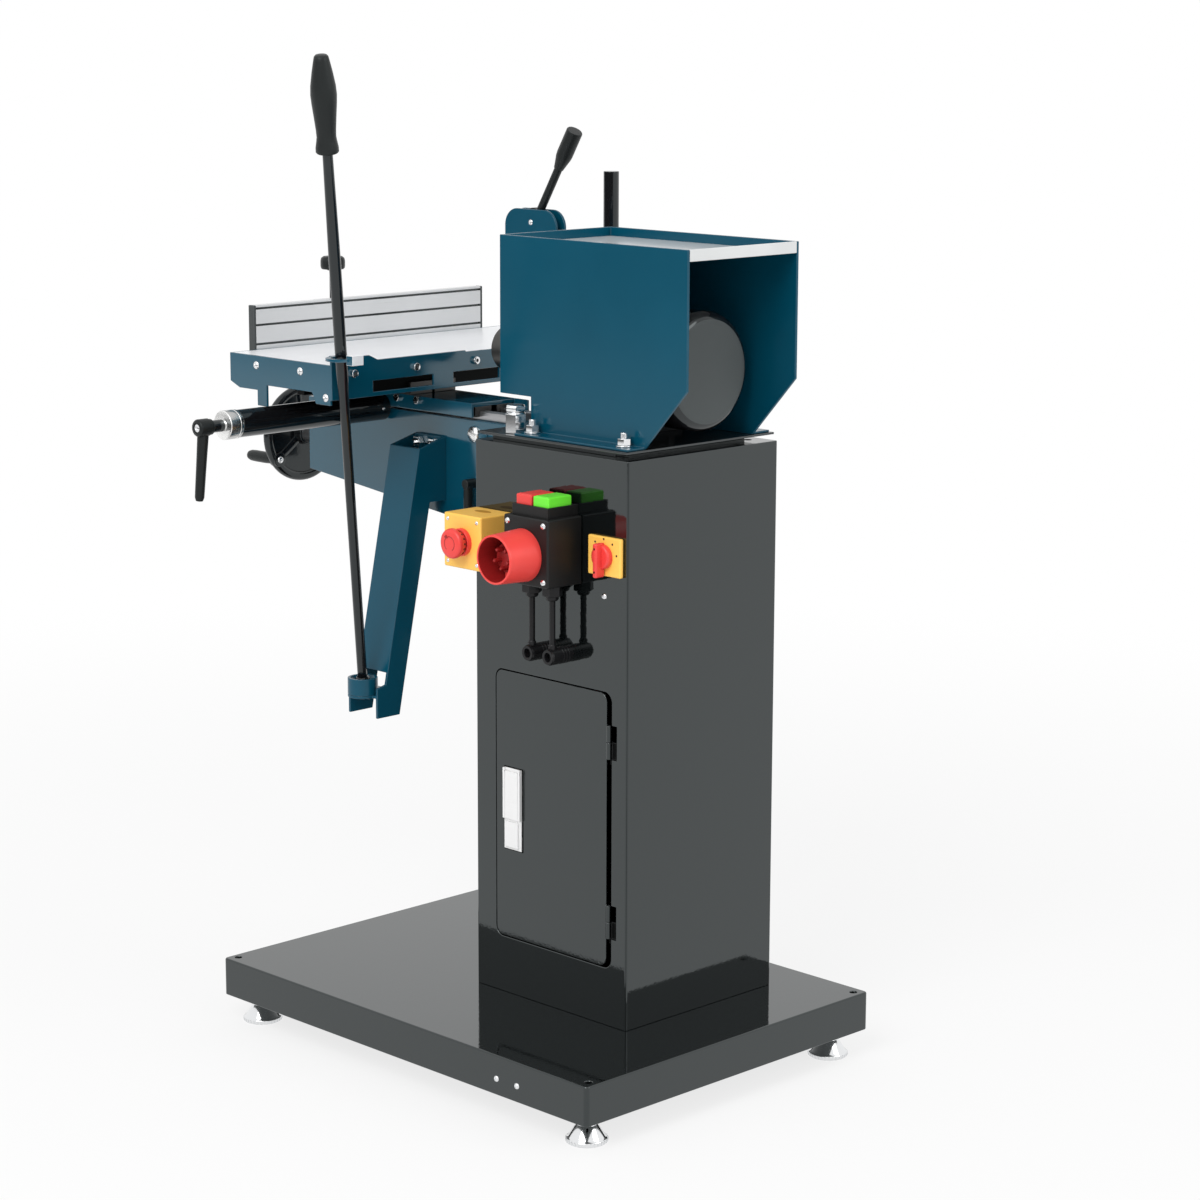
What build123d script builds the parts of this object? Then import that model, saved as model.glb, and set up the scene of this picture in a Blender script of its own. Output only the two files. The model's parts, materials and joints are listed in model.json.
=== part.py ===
from build123d import *
import os
from math import cos, radians, sin, tan

# A slot mortiser: a steel column on a folded base plate carries a horizontal motor with a chuck.
# In front of it a cross-slide table, moved by one tall lever, rides on a height-adjustable arm.
# Millimetres. +Z is up, -Y is the operator's side, +X is the column's door side.
# The origin is on the floor, under the middle of the whole machine.

# Clearances shared by every piece
SLIDE_GAP = 0.3
RUN_GAP = 0.05

# Base plate, a folded tray that stands on four levelling feet
BASE_Y = 136.0
BASE_W = 536.0
BASE_D = 728.0
BASE_RISE = 53.0
BASE_SHEET = 5.0
BASE_FOLD_R = 2.5
BASE_CORNER_R = 6.0
FOOT_LIFT = 37.0
FOOT_INSET = 38.0
FOOT_RIM_D = 54.0
FOOT_RIM_H = 6.0
FOOT_STEP = 2.5
FOOT_NECK_D = 26.0
FOOT_NECK_Z = 24.0
FOOT_STUD_D = 12.0
FOOT_STUD_H = 60.0
FOOT_NUT_AF = 22.0
FOOT_NUT_H = 10.0
CORNER_PLATE = 80.0
CORNER_PLATE_T = 6.0
ANCHOR_INSET_X = 16.0
ANCHOR_INSET_Y = 13.0
ANCHOR_D = 10.0

# Column, a folded box with a door in its +X face
COL_X = -55.0
COL_W = 280.0
COL_D = 286.0
COL_H = 751.0
COL_WALL = 4.0
COL_SETBACK = 36.0
COL_FOLD_R = 3.0
DOOR_SIDE_MARGIN = 28.0
DOOR_FRONT_MARGIN = 38.0
DOOR_LOW = 78.0
DOOR_H = 370.0
DOOR_SHEET = 3.0
DOOR_GAP = 1.5
DOOR_HINGE_GAP = 9.5
DOOR_CORNER_R = 12.0
HINGE_R = 3.5
HINGE_PIN_R = 1.7
HINGE_H = 45.0
HINGE_LEAF = 8.0
HINGE_LEAF_T = 3.0
HINGE_ARM_W = 5.0
HINGE_NOTCH = 9.0
HINGE_ZS = (119.0, 360.0)
LATCH_W = 33.0
LATCH_H = 112.0
LATCH_T = 2.0
LATCH_Z = 203.0
LATCH_INSET = 17.5
LATCH_LIP = 3.7
LATCH_HANDLE_T = 3.0
LATCH_HANDLE_H = 66.0
LATCH_PIN_R = 1.2

# Motor plate and blue sheet housing on the column top
PLATE_GAP = 8.0
PLATE_T = 3.0
SPACER_INSET = 19.0
SPACER_FRONT = 14.0
SPACER_D = 230.0
PLATE_INSET = 2.0
PLATE_D = 279.0
PLATE_HOLE_D = 10.0
PLATE_HOLE_X = 20.0
PLATE_HOLE_Y = 258.0
HOUSING_W = 206.0
HOUSING_L = 342.0
HOUSING_H = 257.0
HOUSING_SHEET = 4.0
HOUSING_SETBACK = 9.0
HOUSING_CUT_Y = 74.0
HOUSING_CUT_Z = 80.0
HOUSING_NOTCH_Y = 59.0
HOUSING_NOTCH_Z = 48.0
HOUSING_FOOT = 30.0
HOUSING_FOOT_T = 3.0
HOUSING_FOOT_BOLT = 12.5
HOUSING_NOSE_R = 50.0
TRAY_DEPTH = 12.0
TRAY_SHEET = 3.0
BOLT_SHANK_R = 5.0
BOLT_AF = 16.0
BOLT_HEAD_H = 9.0
BOLT_TIP = 7.0
WASHER_R = 11.0
WASHER_T = 2.0
BOLT_TAIL = 6.0
BOLT_YS = (85.0, 254.0)
STUD_AF = 26.0
STUD_H = 38.0
STUD_INSET_X = 25.0
STUD_Y = 52.0

# Motor, spindle and two-jaw chuck, all on one axis along Y
SPINDLE_RISE = 92.0
MOTOR_SETBACK = 17.0
MOTOR_L = 194.0
MOTOR_R = 60.0
MOTOR_CAVITY_R = 42.0
MOTOR_END = 20.0
MOTOR_GAP = 3.0
FIN_COUNT = 28
FIN_H = 5.0
FIN_T = 3.0
MOTOR_FOOT_W = 150.0
MOTOR_FOOT_L = 120.0
MOTOR_FOOT_T = 10.0
COWL_R = 78.0
COWL_L = 81.0
COWL_LAP = 14.0
COWL_WALL = 3.0
COWL_EDGE_R = 14.0
SHAFT_R = 10.0
SHAFT_NOSE_R = 12.0
BEARING_R = 23.5
BEARING_W = 14.0
ROTOR_R = 39.0
FAN_R = 55.0
FAN_BLADES = 9
FAN_BLADE_T = 4.0
FAN_W = 19.0
FAN_GAP = 5.0
FAN_HUB_R = 20.0
CHUCK_R = 31.0
CHUCK_L = 60.0
CHUCK_SOCKET_L = 20.0
CHUCK_STICKOUT = 89.0
JAW_SLOT = 20.0
JAW_DEPTH = 33.0
JAW_PROUD = 3.0
JAW_GRIP_R = 8.0
JAW_GRIP_HALF_ANGLE = 35.0
JAW_OUT = 22.0
JAW_OPENING = 3.0
CHUCK_BORE_R = 9.0

# Switchgear on the column's +X face; heights are above the column's foot
SWITCH_Y = 126.5
SWITCH_Z = 628.5
SWITCH_W = 82.0
SWITCH_H = 89.0
SWITCH_D = 62.0
SWITCH_WALL = 3.0
SWITCH_EDGE_R = 3.0
SWITCH_CROWN = 14.0
SWITCH_CROWN_INSET = 8.0
PUSH_W = 28.5
PUSH_D = 42.0
PUSH_OUT = 8.0
PUSH_PROUD = 13.0
PUSH_SUNK = 11.7
PUSH_SPLIT = 3.0
PUSH_EDGE_R = 1.5
INLET_R = 32.0
INLET_ROOT_R = 34.5
INLET_WALL = 3.0
INLET_L = 52.0
INLET_CORE_R = 20.0
INLET_CORE_L = 40.0
INLET_PIN_R = 3.0
INLET_PIN_L = 12.0
INLET_PIN_CIRCLE = 13.0
INLET_PINS = 5
INLET_PIN_TURN = -90.0
INLET_SHIFT = -4.0
INLET_SAG = 5.0
ESTOP_Y = 4.0
ESTOP_Z = 625.0
ESTOP_SIZE = 72.0
ESTOP_D = 60.0
ESTOP_STEM_R = 12.0
ESTOP_STEM_L = 7.0
ESTOP_SUNK = 12.0
ESTOP_HEAD_R = 20.0
ESTOP_HEAD_L = 16.0
ESTOP_HEAD_EDGE_R = 5.3
ROTARY_Y = 213.5
ROTARY_Z = 626.5
ROTARY_W = 59.0
ROTARY_H = 51.0
ROTARY_T = 7.0
ROTARY_HUB_R = 16.0
ROTARY_HUB_L = 8.0
ROTARY_BAR_W = 7.0
ROTARY_BAR_UP = 18.5
ROTARY_BAR_DOWN = 26.0
ROTARY_BAR_L = 17.0
ROTARY_PIN_R = 6.0
ROTARY_PIN_L = 5.0
CABLE_YS = (103.0, 141.0)
CABLE_OUT = 28.0
CABLE_R = 4.0
CABLE_DROP = 74.0
GLAND_AF = 27.0
GLAND_H = 22.0
ELBOW_R = 11.0
ELBOW_BORE_R = 5.0
ELBOW_PROUD = 9.0
SCREW_R = 4.0
SCREW_HEAD_H = 2.5
SCREW_SHANK_R = 2.0
SCREW_SHANK_L = 8.0
SCREW_INSET = 8.0
COLUMN_SCREW_Y = 208.0
COLUMN_SCREW_Z = 573.0
SKIRT_SCREW_YS = (200.0, 238.0)
SKIRT_SCREW_Z = 22.0

# Height slide: rails on the column front, saddle, arm, screw and handwheel
RAIL_PITCH = 150.0
RAIL_W = 24.0
RAIL_D = 12.0
RAIL_LOW = 425.0
RAIL_TOP_GAP = 3.0
SADDLE_W = 200.0
SADDLE_H = 180.0
SADDLE_T = 16.0
SADDLE_DROP = 1.0
SHOE_W = 44.0
SHOE_H = 50.0
SHOE_FACE_GAP = 1.0
SHOE_CAP = 9.0
ARM_W = 70.0
ARM_WALL = 6.0
ARM_PROUD = 3.0
ARM_NOSE = 474.0
ARM_NOSE_H = 106.0
ARM_ROOT_H = 154.0
SCREW_AXIS_OUT = 81.0
LEAD_R = 8.0
LEAD_TAIL = 12.0
NUT_BLOCK_W = 56.0
NUT_BLOCK_H = 40.0
NUT_BLOCK_GAP = 8.0
HEIGHT_TRAVEL = 130.0
NUT_BLOCK_REACH = 28.0
WHEEL_SHAFT_DROP = 63.0
WHEEL_SHAFT_R = 8.0
SCREW_WEB_DROP = 109.0
SCREW_WEB_T = 12.0
SHAFT_WEB_OUT = 131.0
SHAFT_WEB_T = 10.0
BEVEL_R = 22.0
BEVEL_FACE = 8.0
BEVEL_HUB_R = 13.0
WHEEL_R = 71.0
WHEEL_RIM_R = 7.0
WHEEL_OUT = 59.0
WHEEL_HUB_R = 16.0
WHEEL_HUB_L = 30.0
WHEEL_WEB_T = 5.0
WHEEL_RIBS = 3
WHEEL_RIB_W = 15.0
WHEEL_RIB_T = 9.0
CRANK_RADIUS = 59.0
CRANK_ANGLE = -37.0
CRANK_BOSS_R = 11.0
CRANK_PIN_R = 4.0
CRANK_GRIP_L = 60.0
CRANK_GRIP_R = 8.5
HEIGHT_LOCK_OUT = 117.0
HEIGHT_LOCK_DROP = 87.0
HEIGHT_LOCK_L = 46.0
HEIGHT_LOCK_R = 6.5
HEIGHT_LOCK_HUB_L = 18.0
HEIGHT_LOCK_PIN_R = 4.0
ARM_BOLT_OUT = 116.0
ARM_BOLT_DROP = 19.0
ARM_BOLT_H = 7.0
ARM_BOLT_R = 11.5

# Cross slide: carriage along Y on the arm, table along X on the carriage
DEPTH_RAIL_PITCH = 40.0
DEPTH_RAIL_W = 15.0
DEPTH_RAIL_H = 12.0
CARRIAGE_FRONT = 343.0
CARRIAGE_L = 229.0
CARRIAGE_LIFT = 4.0
CARRIAGE_H = 20.0
CARRIAGE_W = 84.0
CARRIAGE_WALL = 4.0
CARRIAGE_TOP_T = 6.0
CARRIAGE_TAIL = 26.0
BLOCK_W = 30.0
BLOCK_L = 45.0
CROSS_RAIL_W = 15.0
CROSS_RAIL_L = 350.0
CROSS_BLOCK_H = 18.0
CROSS_BLOCK_L = 40.0
CROSS_BLOCK_FLOOR = 4.0
CROSS_RAIL_OUTS = (255.0, 320.0)
TABLE_RISE = 66.0
TABLE_L = 514.0
TABLE_D = 218.0
TABLE_T = 20.0
TABLE_OUT = 153.0
APRON_T = 4.0
APRON_H = 47.0
APRON_CORNER_H = 9.0
APRON_CORNER_W = 66.0
APRON_CORNER_RUN = 15.0
APRON_LEG_W = 20.0
APRON_LEG_H = 68.0
APRON_LEG_IN = 59.0
APRON_RAISE = 8.0
APRON_LUG_W = 42.0
APRON_LUG_H = 54.0
APRON_LIP = 2.0
APRON_LIP_END = 17.0
APRON_SLOT_H = 15.0
APRON_SLOT_LIFT = 6.0
APRON_SLOTS = ((76.0, 109.0), (-46.0, 86.0))
APRON_SCREW_STEPS = (-1, 0, 1, 2)
APRON_SCREW_PITCH = 110.0
APRON_SCREW_DROP = 13.0
APRON_SCREW_R = 5.5
APRON_SCREW_H = 5.0
END_SCREW_INS = (58.0, 152.0)
LUG_SCREW_IN = 13.0
LUG_SCREW_DROP = 44.0

# Stop bar under the table
TUBE_R = 19.0
TUBE_BORE_R = 15.5
TUBE_L = 261.0
TUBE_OUT = 302.0
TUBE_LIFT = 2.0
COLLAR_R = 20.0
COLLAR_L = 22.0
STOP_ROD_L = 150.0
STOP_STUD_R = 8.0
STOP_STUD_L = 20.0
STOP_PIN_R = 5.0
STOP_PIN_L = 16.0
RATCHET_R = 12.0
RATCHET_HUB_L = 24.0
RATCHET_ARM_L = 103.0
RATCHET_ARM_R = 8.0
RATCHET_TIP_R = 6.5
RATCHET_LEAN = 7.0

# Fence along the table's front edge, with a sliding stop
FENCE_L = 428.0
FENCE_H = 65.0
FENCE_LIFT = -4.0
FENCE_T = 12.0
FENCE_GROOVE = 3.0
FENCE_GROOVE_ZS = (3.0, 26.0, 52.5)
FENCE_CAP_T = 4.0
FENCE_TRACK_W = 12.0
FENCE_TRACK_Z = 40.0
FENCE_TRACK_D = 5.0
FENCE_BRACKET_W = 40.0
FENCE_BRACKET_D = 24.0
FENCE_BRACKET_OFFSET = 145.0
FENCE_BRACKET_H = 34.0
STOP_SHIFT = 44.0
STOP_W = 40.0
STOP_T = 41.7
STOP_H = 35.0
STOP_LOW = 21.0
KNOB_STEM_R = 5.0
KNOB_Z = 118.0
KNOB_R = 17.5
KNOB_H = 19.0
KNOB_EDGE_R = 6.0

# One-lever control: bracket and ball under the arm, rod up through a guide on the table corner
LEVER_SIDE = 130.0
LEVER_OUT = 206.0
LEVER_DROP = 361.0
BALL_R = 11.0
CUP_T = 2.7
SOCKET_R = 21.0
SOCKET_TOP = 6.0
SOCKET_FLOOR = 3.0
GUIDE_SIDE = 4.0
GUIDE_BACK = 24.0
GUIDE_RISE = 23.0
GUIDE_T = 4.0
GUIDE_HOLE_R = 15.2
GUIDE_SHIFT = 1.5
GUIDE_RIM = 6.8
GUIDE_TAIL = 18.0
GUIDE_BLOCK = 19.0
GUIDE_BLOCK_D = 13.0
GUIDE_BLOCK_H = 13.0
GUIDE_BLOCK_OUT = 2.8
GUIDE_BLOCK_SHIFT = -1.5
GUIDE_BLOCK_LAP = 4.0
LEVER_END_R = 6.7
LEVER_MID_R = 8.0
LEVER_LEN = 888.0
LEVER_SWELL_LOW = 64.0
LEVER_SWELL_TAPER = 32.0
LEVER_SWELL_HIGH = 128.0
GRIP_L = 128.0
GRIP_SOCKET_L = 64.0
GRIP_FOOT_L = 8.0
GRIP_WAIST_AT = 19.0
GRIP_BELLY_AT = 74.0
GRIP_TOP_AT = 124.0
GRIP_END_R = 7.6
GRIP_TOP_R = 9.5
GRIP_BELLY_R = 17.0
GRIP_WAIST_R = 12.5
GRIP_FOOT_R = 15.0
BRACKET_W = 62.0
BRACKET_T = 4.0
BRACKET_OUT = 175.0
BRACKET_DEPTH = 34.0
BRACKET_DROP = 28.0
BRACKET_BOLT_DROP = 12.0
BRACKET_WEB_DROP = 41.0
BRACKET_WEB_X = 49.0
BRACKET_LEAN = 11.4
BRACKET_PLATE_T = 6.0
BRACKET_PLATE_H = 90.0
BRACKET_WEB_TAIL = 13.0
BRACKET_FOOT_STEP = 3.0
BRACKET_FOOT_H = 46.0
BRACKET_FOOT_REACH = 16.0

# Eccentric work clamp on a post at the table's far corner
POST_IN = 22.0
POST_BACK = 30.0
POST_R = 11.0
POST_RISE = 239.0
POST_BLOCK_W = 44.0
POST_BLOCK_BACK = 20.0
POST_BLOCK_H = 44.0
CLAMP_COLLAR_R = 17.0
CLAMP_COLLAR_H = 20.0
CLAMP_ARM_RISE = 100.0
CLAMP_SLEEVE_R = 20.0
CLAMP_SLEEVE_H = 50.0
CLAMP_BAR_W = 24.0
CLAMP_BAR_H = 32.0
CLAMP_BAR_STEP = 8.0
CLAMP_REACH = 156.0
CLAMP_HEAD_L = 108.0
CLAMP_HEAD_DROP = 0.0
CLAMP_HEAD_GAP = 13.0
CLAMP_HEAD_R = 25.0
CLAMP_GUIDE_L = 40.0
CLAMP_GUIDE_H = 18.0
CLAMP_BAR_LAP = 12.0
CLAMP_PLATE_T = 4.0
CLAMP_PIVOT_RISE = 59.0
CLAMP_HEAD_TOP = 19.0
CLAMP_PIN_R = 4.0
CAM_R = 15.0
CAM_OFFSET = 6.0
CLAMP_LEVER_ANGLE = 58.5
CLAMP_LEVER_R = 6.0
CLAMP_LEVER_L = 157.0
CLAMP_GRIP_L = 65.0
CLAMP_GRIP_R = 12.0
CLAMP_GRIP_STEP = 1.5
CLAMP_GRIP_FLARE = 22.0
PLUNGER_R = 6.0
PLUNGER_RISE = 56.0
PAD_R = 20.0
PAD_H = 10.0
PAD_EDGE = 2.5

# Places worked out from the sizes above
BASE_TOP = FOOT_LIFT + BASE_RISE
COL_TOP = BASE_TOP + COL_H
FRONT = BASE_Y - COL_SETBACK
BACK = FRONT + COL_D
FACE = COL_X + COL_W / 2
PLATE_TOP = COL_TOP + PLATE_GAP + PLATE_T
HOUSING_TOP = PLATE_TOP + HOUSING_H
HOUSING_Y = FRONT + HOUSING_SETBACK
SPINDLE_Z = PLATE_TOP + SPINDLE_RISE
MOTOR_Y = FRONT + MOTOR_SETBACK
CHUCK_FRONT = FRONT - CHUCK_STICKOUT
CABLE_X = FACE + CABLE_OUT
ARM_R = COL_X + ARM_W / 2
ARM_L = COL_X - ARM_W / 2
ARM_TOP = COL_TOP + ARM_PROUD
RAIL_FACE = FRONT - RAIL_D
SADDLE_TOP = COL_TOP - SADDLE_DROP
SADDLE_LOW = SADDLE_TOP - SADDLE_H
SADDLE_BACK = RAIL_FACE - SHOE_CAP
SADDLE_FRONT = SADDLE_BACK - SADDLE_T
NOSE_Y = FRONT - ARM_NOSE
NUT_BLOCK_LOW = SADDLE_LOW - HEIGHT_TRAVEL - NUT_BLOCK_GAP - NUT_BLOCK_H
LEAD_Y = FRONT - SCREW_AXIS_OUT
LEAD_LOW = NUT_BLOCK_LOW - LEAD_TAIL
SCREW_WEB_Z = ARM_TOP - SCREW_WEB_DROP
WHEEL_Y = NOSE_Y - WHEEL_OUT
WHEEL_SHAFT_Z = ARM_TOP - WHEEL_SHAFT_DROP
HEIGHT_LOCK_Z = ARM_TOP - HEIGHT_LOCK_DROP
ARM_BOLT_Z = ARM_TOP - ARM_BOLT_DROP
CARRIAGE_LOW = ARM_TOP + CARRIAGE_LIFT
CARRIAGE_TOP = CARRIAGE_LOW + CARRIAGE_H
CARRIAGE_R = COL_X + CARRIAGE_W / 2
TABLE_TOP = CARRIAGE_TOP + TABLE_RISE
TABLE_UNDER = TABLE_TOP - TABLE_T
TABLE_BACK = FRONT - TABLE_OUT
TABLE_FRONT = TABLE_BACK - TABLE_D
TABLE_R = COL_X + TABLE_L / 2
TABLE_LEFT = COL_X - TABLE_L / 2
APRON_LOW = TABLE_TOP - APRON_H
APRON_LEG_LOW = TABLE_TOP - APRON_LEG_H
APRON_LUG_LOW = TABLE_TOP - APRON_LUG_H
TUBE_Y = FRONT - TUBE_OUT
TUBE_Z = ARM_TOP + TUBE_LIFT
TUBE_END = CARRIAGE_R + TUBE_L
FENCE_BACK = TABLE_FRONT - FENCE_T
FENCE_BRACKET_LOW = TABLE_TOP - FENCE_BRACKET_H
STOP_X = COL_X + STOP_SHIFT
BRACKET_TOP = ARM_TOP - BRACKET_DROP
BRACKET_WEB_TOP = ARM_TOP - BRACKET_WEB_DROP
LEVER_X = ARM_R + LEVER_SIDE
LEVER_Y = FRONT - LEVER_OUT
LEVER_BALL_Z = ARM_TOP - LEVER_DROP
BRACKET_WEB_LOW = LEVER_BALL_Z + BRACKET_WEB_TAIL
BRACKET_FOOT_TOP = LEVER_BALL_Z - BRACKET_FOOT_STEP
BRACKET_FOOT_LOW = BRACKET_FOOT_TOP - BRACKET_FOOT_H
GUIDE_X = TABLE_R + GUIDE_SIDE
GUIDE_Y = TABLE_BACK + GUIDE_BACK
GUIDE_Z = TABLE_TOP + GUIDE_RISE
POST_X = TABLE_LEFT + POST_IN
POST_Y = TABLE_BACK + POST_BACK
POST_TOP = TABLE_TOP + POST_RISE
POST_BLOCK_LOW = TABLE_TOP - POST_BLOCK_H
CLAMP_ARM_LOW = TABLE_TOP + CLAMP_ARM_RISE
CLAMP_BAR_LOW = CLAMP_ARM_LOW + CLAMP_BAR_STEP
CLAMP_HEAD_LOW = CLAMP_ARM_LOW - CLAMP_HEAD_DROP
CLAMP_PIVOT_Z = CLAMP_ARM_LOW + CLAMP_PIVOT_RISE
CLAMP_Y = POST_Y - CLAMP_REACH
PLUNGER_LOW = TABLE_TOP + PLUNGER_RISE

TURNED = {"x": (0, 90, 0), "y": (-90, 0, 0), "z": (0, 0, 0)}


def place(axis, along, a, b):
    """Point whose coordinate on the axis is along, with the other two in X, Y, Z order."""
    return {"x": (along, a, b), "y": (a, along, b), "z": (a, b, along)}[axis]


def block(x, y, z, mode=Mode.ADD):
    """Box between low and high limits on each axis."""
    with Locations(((x[0] + x[1]) / 2, (y[0] + y[1]) / 2, (z[0] + z[1]) / 2)):
        Box(x[1] - x[0], y[1] - y[0], z[1] - z[0], mode=mode)


def rod(axis, start, end, radius, a, b, mode=Mode.ADD):
    """Round bar along an axis."""
    with Locations(Location(place(axis, (start + end) / 2, a, b), TURNED[axis])):
        Cylinder(radius, end - start, mode=mode)


def cone(axis, start, end, r_start, r_end, a, b, mode=Mode.ADD):
    """Tapered round bar along an axis."""
    with Locations(Location(place(axis, (start + end) / 2, a, b), TURNED[axis])):
        Cone(r_start, r_end, end - start, mode=mode)


def hexagon(axis, start, end, across_flats, a, b):
    """Hexagonal bar along an axis, measured across its flats."""
    face = {"x": Plane.YZ, "y": Plane.XZ, "z": Plane.XY}[axis]
    base = Plane(place(axis, start, a, b), x_dir=face.x_dir, z_dir=place(axis, 1, 0, 0))
    with BuildSketch(base) as profile:
        RegularPolygon(across_flats / 2, 6, major_radius=False)
    extrude(profile.sketch, amount=end - start)


def sheet_x(points, low, high, mode=Mode.ADD):
    """Plate square to X, from an outline in Y and Z."""
    with BuildSketch(Plane.YZ.offset(low)) as profile:
        with BuildLine():
            Polyline(*points, close=True)
        make_face()
    extrude(profile.sketch, amount=high - low, dir=(1, 0, 0), mode=mode)


def sheet_y(points, low, high, mode=Mode.ADD):
    """Plate square to Y, from an outline in X and Z."""
    with BuildSketch(Plane.XZ.offset(-low)) as profile:
        with BuildLine():
            Polyline(*points, close=True)
        make_face()
    extrude(profile.sketch, amount=high - low, dir=(0, 1, 0), mode=mode)


def turned_bar(start, direction, profile):
    """Solid of revolution along a slanted line, from (distance, radius) points."""
    plane = Plane(origin=start, z_dir=direction)
    slant = Plane(origin=start, x_dir=plane.x_dir, z_dir=-plane.y_dir)
    outline = [(0, profile[0][0])] + [(r, d) for d, r in profile] + [(0, profile[-1][0])]
    with BuildSketch(slant) as half:
        with BuildLine():
            Polyline(*outline, close=True)
        make_face()
    revolve(half.sketch, axis=Axis(start, direction))


def save(builder, name):
    """Label a finished piece and write it."""
    builder.part.label = name
    export_step(builder.part, f"parts/{name}.step")


os.makedirs("parts", exist_ok=True)

# Base plate: folded tray, corner plates for the feet, anchor holes beside them
half_w, half_d = BASE_W / 2, BASE_D / 2
corners = [(i, j) for i in (-1, 1) for j in (-1, 1)]
feet = [(i * (half_w - FOOT_INSET), BASE_Y + j * (half_d - FOOT_INSET)) for i, j in corners]
anchors = [(i * (half_w - ANCHOR_INSET_X), BASE_Y + j * (half_d - ANCHOR_INSET_Y)) for i, j in corners]
with BuildPart() as base_plate:
    block((-half_w, half_w), (BASE_Y - half_d, BASE_Y + half_d), (FOOT_LIFT, BASE_TOP))
    fillet(base_plate.edges().filter_by(Axis.Z), BASE_CORNER_R)
    fillet(base_plate.faces().sort_by(Axis.Z)[-1].edges(), BASE_FOLD_R)
    inner_w, inner_d = half_w - BASE_SHEET, half_d - BASE_SHEET
    block((-inner_w, inner_w), (BASE_Y - inner_d, BASE_Y + inner_d),
          (FOOT_LIFT, BASE_TOP - BASE_SHEET), Mode.SUBTRACT)
    for i, j in corners:
        edge_x, edge_y = i * inner_w, BASE_Y + j * inner_d
        block(sorted((edge_x, edge_x - i * CORNER_PLATE)), sorted((edge_y, edge_y - j * CORNER_PLATE)),
              (FOOT_LIFT, FOOT_LIFT + CORNER_PLATE_T))
    for x, y in feet:
        rod("z", FOOT_LIFT, FOOT_LIFT + CORNER_PLATE_T, FOOT_STUD_D / 2 + SLIDE_GAP, x, y, Mode.SUBTRACT)
    for x, y in anchors:
        rod("z", FOOT_LIFT, BASE_TOP, ANCHOR_D / 2, x, y, Mode.SUBTRACT)
    for y in SKIRT_SCREW_YS:
        rod("x", inner_w, half_w, SCREW_SHANK_R + SLIDE_GAP, BASE_Y + y, FOOT_LIFT + SKIRT_SCREW_Z,
            Mode.SUBTRACT)
save(base_plate, "base_plate")

# Levelling feet: chromed cones on threaded studs, each with a lock nut under the corner plate
with BuildPart() as levelling_feet:
    for x, y in feet:
        rod("z", 0, FOOT_RIM_H, FOOT_RIM_D / 2, x, y)
        cone("z", FOOT_RIM_H, FOOT_NECK_Z, FOOT_RIM_D / 2 - FOOT_STEP, FOOT_NECK_D / 2, x, y)
        hexagon("z", FOOT_LIFT - FOOT_NUT_H, FOOT_LIFT, FOOT_NUT_AF, x, y)
        rod("z", FOOT_NECK_Z, FOOT_STUD_H, FOOT_STUD_D / 2, x, y)
save(levelling_feet, "levelling_feet")

# Column shell, open underneath, with a door opening, cable holes and the fixed hinge knuckles
col_left = COL_X - COL_W / 2
door_front = FRONT + DOOR_FRONT_MARGIN
door_back = BACK - DOOR_SIDE_MARGIN
door_low = BASE_TOP + DOOR_LOW
door_top = door_low + DOOR_H
switch_z = BASE_TOP + SWITCH_Z
switch_low, switch_top = switch_z - SWITCH_H / 2, switch_z + SWITCH_H / 2
elbow_z = switch_low - GLAND_H - CABLE_DROP
cable_ys = [BASE_Y + y for y in CABLE_YS]
house_l, house_r = COL_X - HOUSING_W / 2, COL_X + HOUSING_W / 2
bolt_xs = (house_l - HOUSING_FOOT_BOLT, house_r + HOUSING_FOOT_BOLT)
bolt_places = [(x, FRONT + y) for x in bolt_xs for y in BOLT_YS]
stud_place = (FACE - STUD_INSET_X, FRONT + STUD_Y)
hinge_x, hinge_y = FACE, door_back - DOOR_HINGE_GAP / 2
leaf_x = (FACE - COL_WALL - HINGE_LEAF_T, FACE - COL_WALL)
hinge_zs = [BASE_TOP + z for z in HINGE_ZS]


def bolt_holes(low, high):
    """Clearance holes for the housing bolts and the stud through one layer."""
    for x, y in bolt_places + [stud_place]:
        rod("z", low, high, BOLT_SHANK_R + SLIDE_GAP, x, y, Mode.SUBTRACT)


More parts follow.
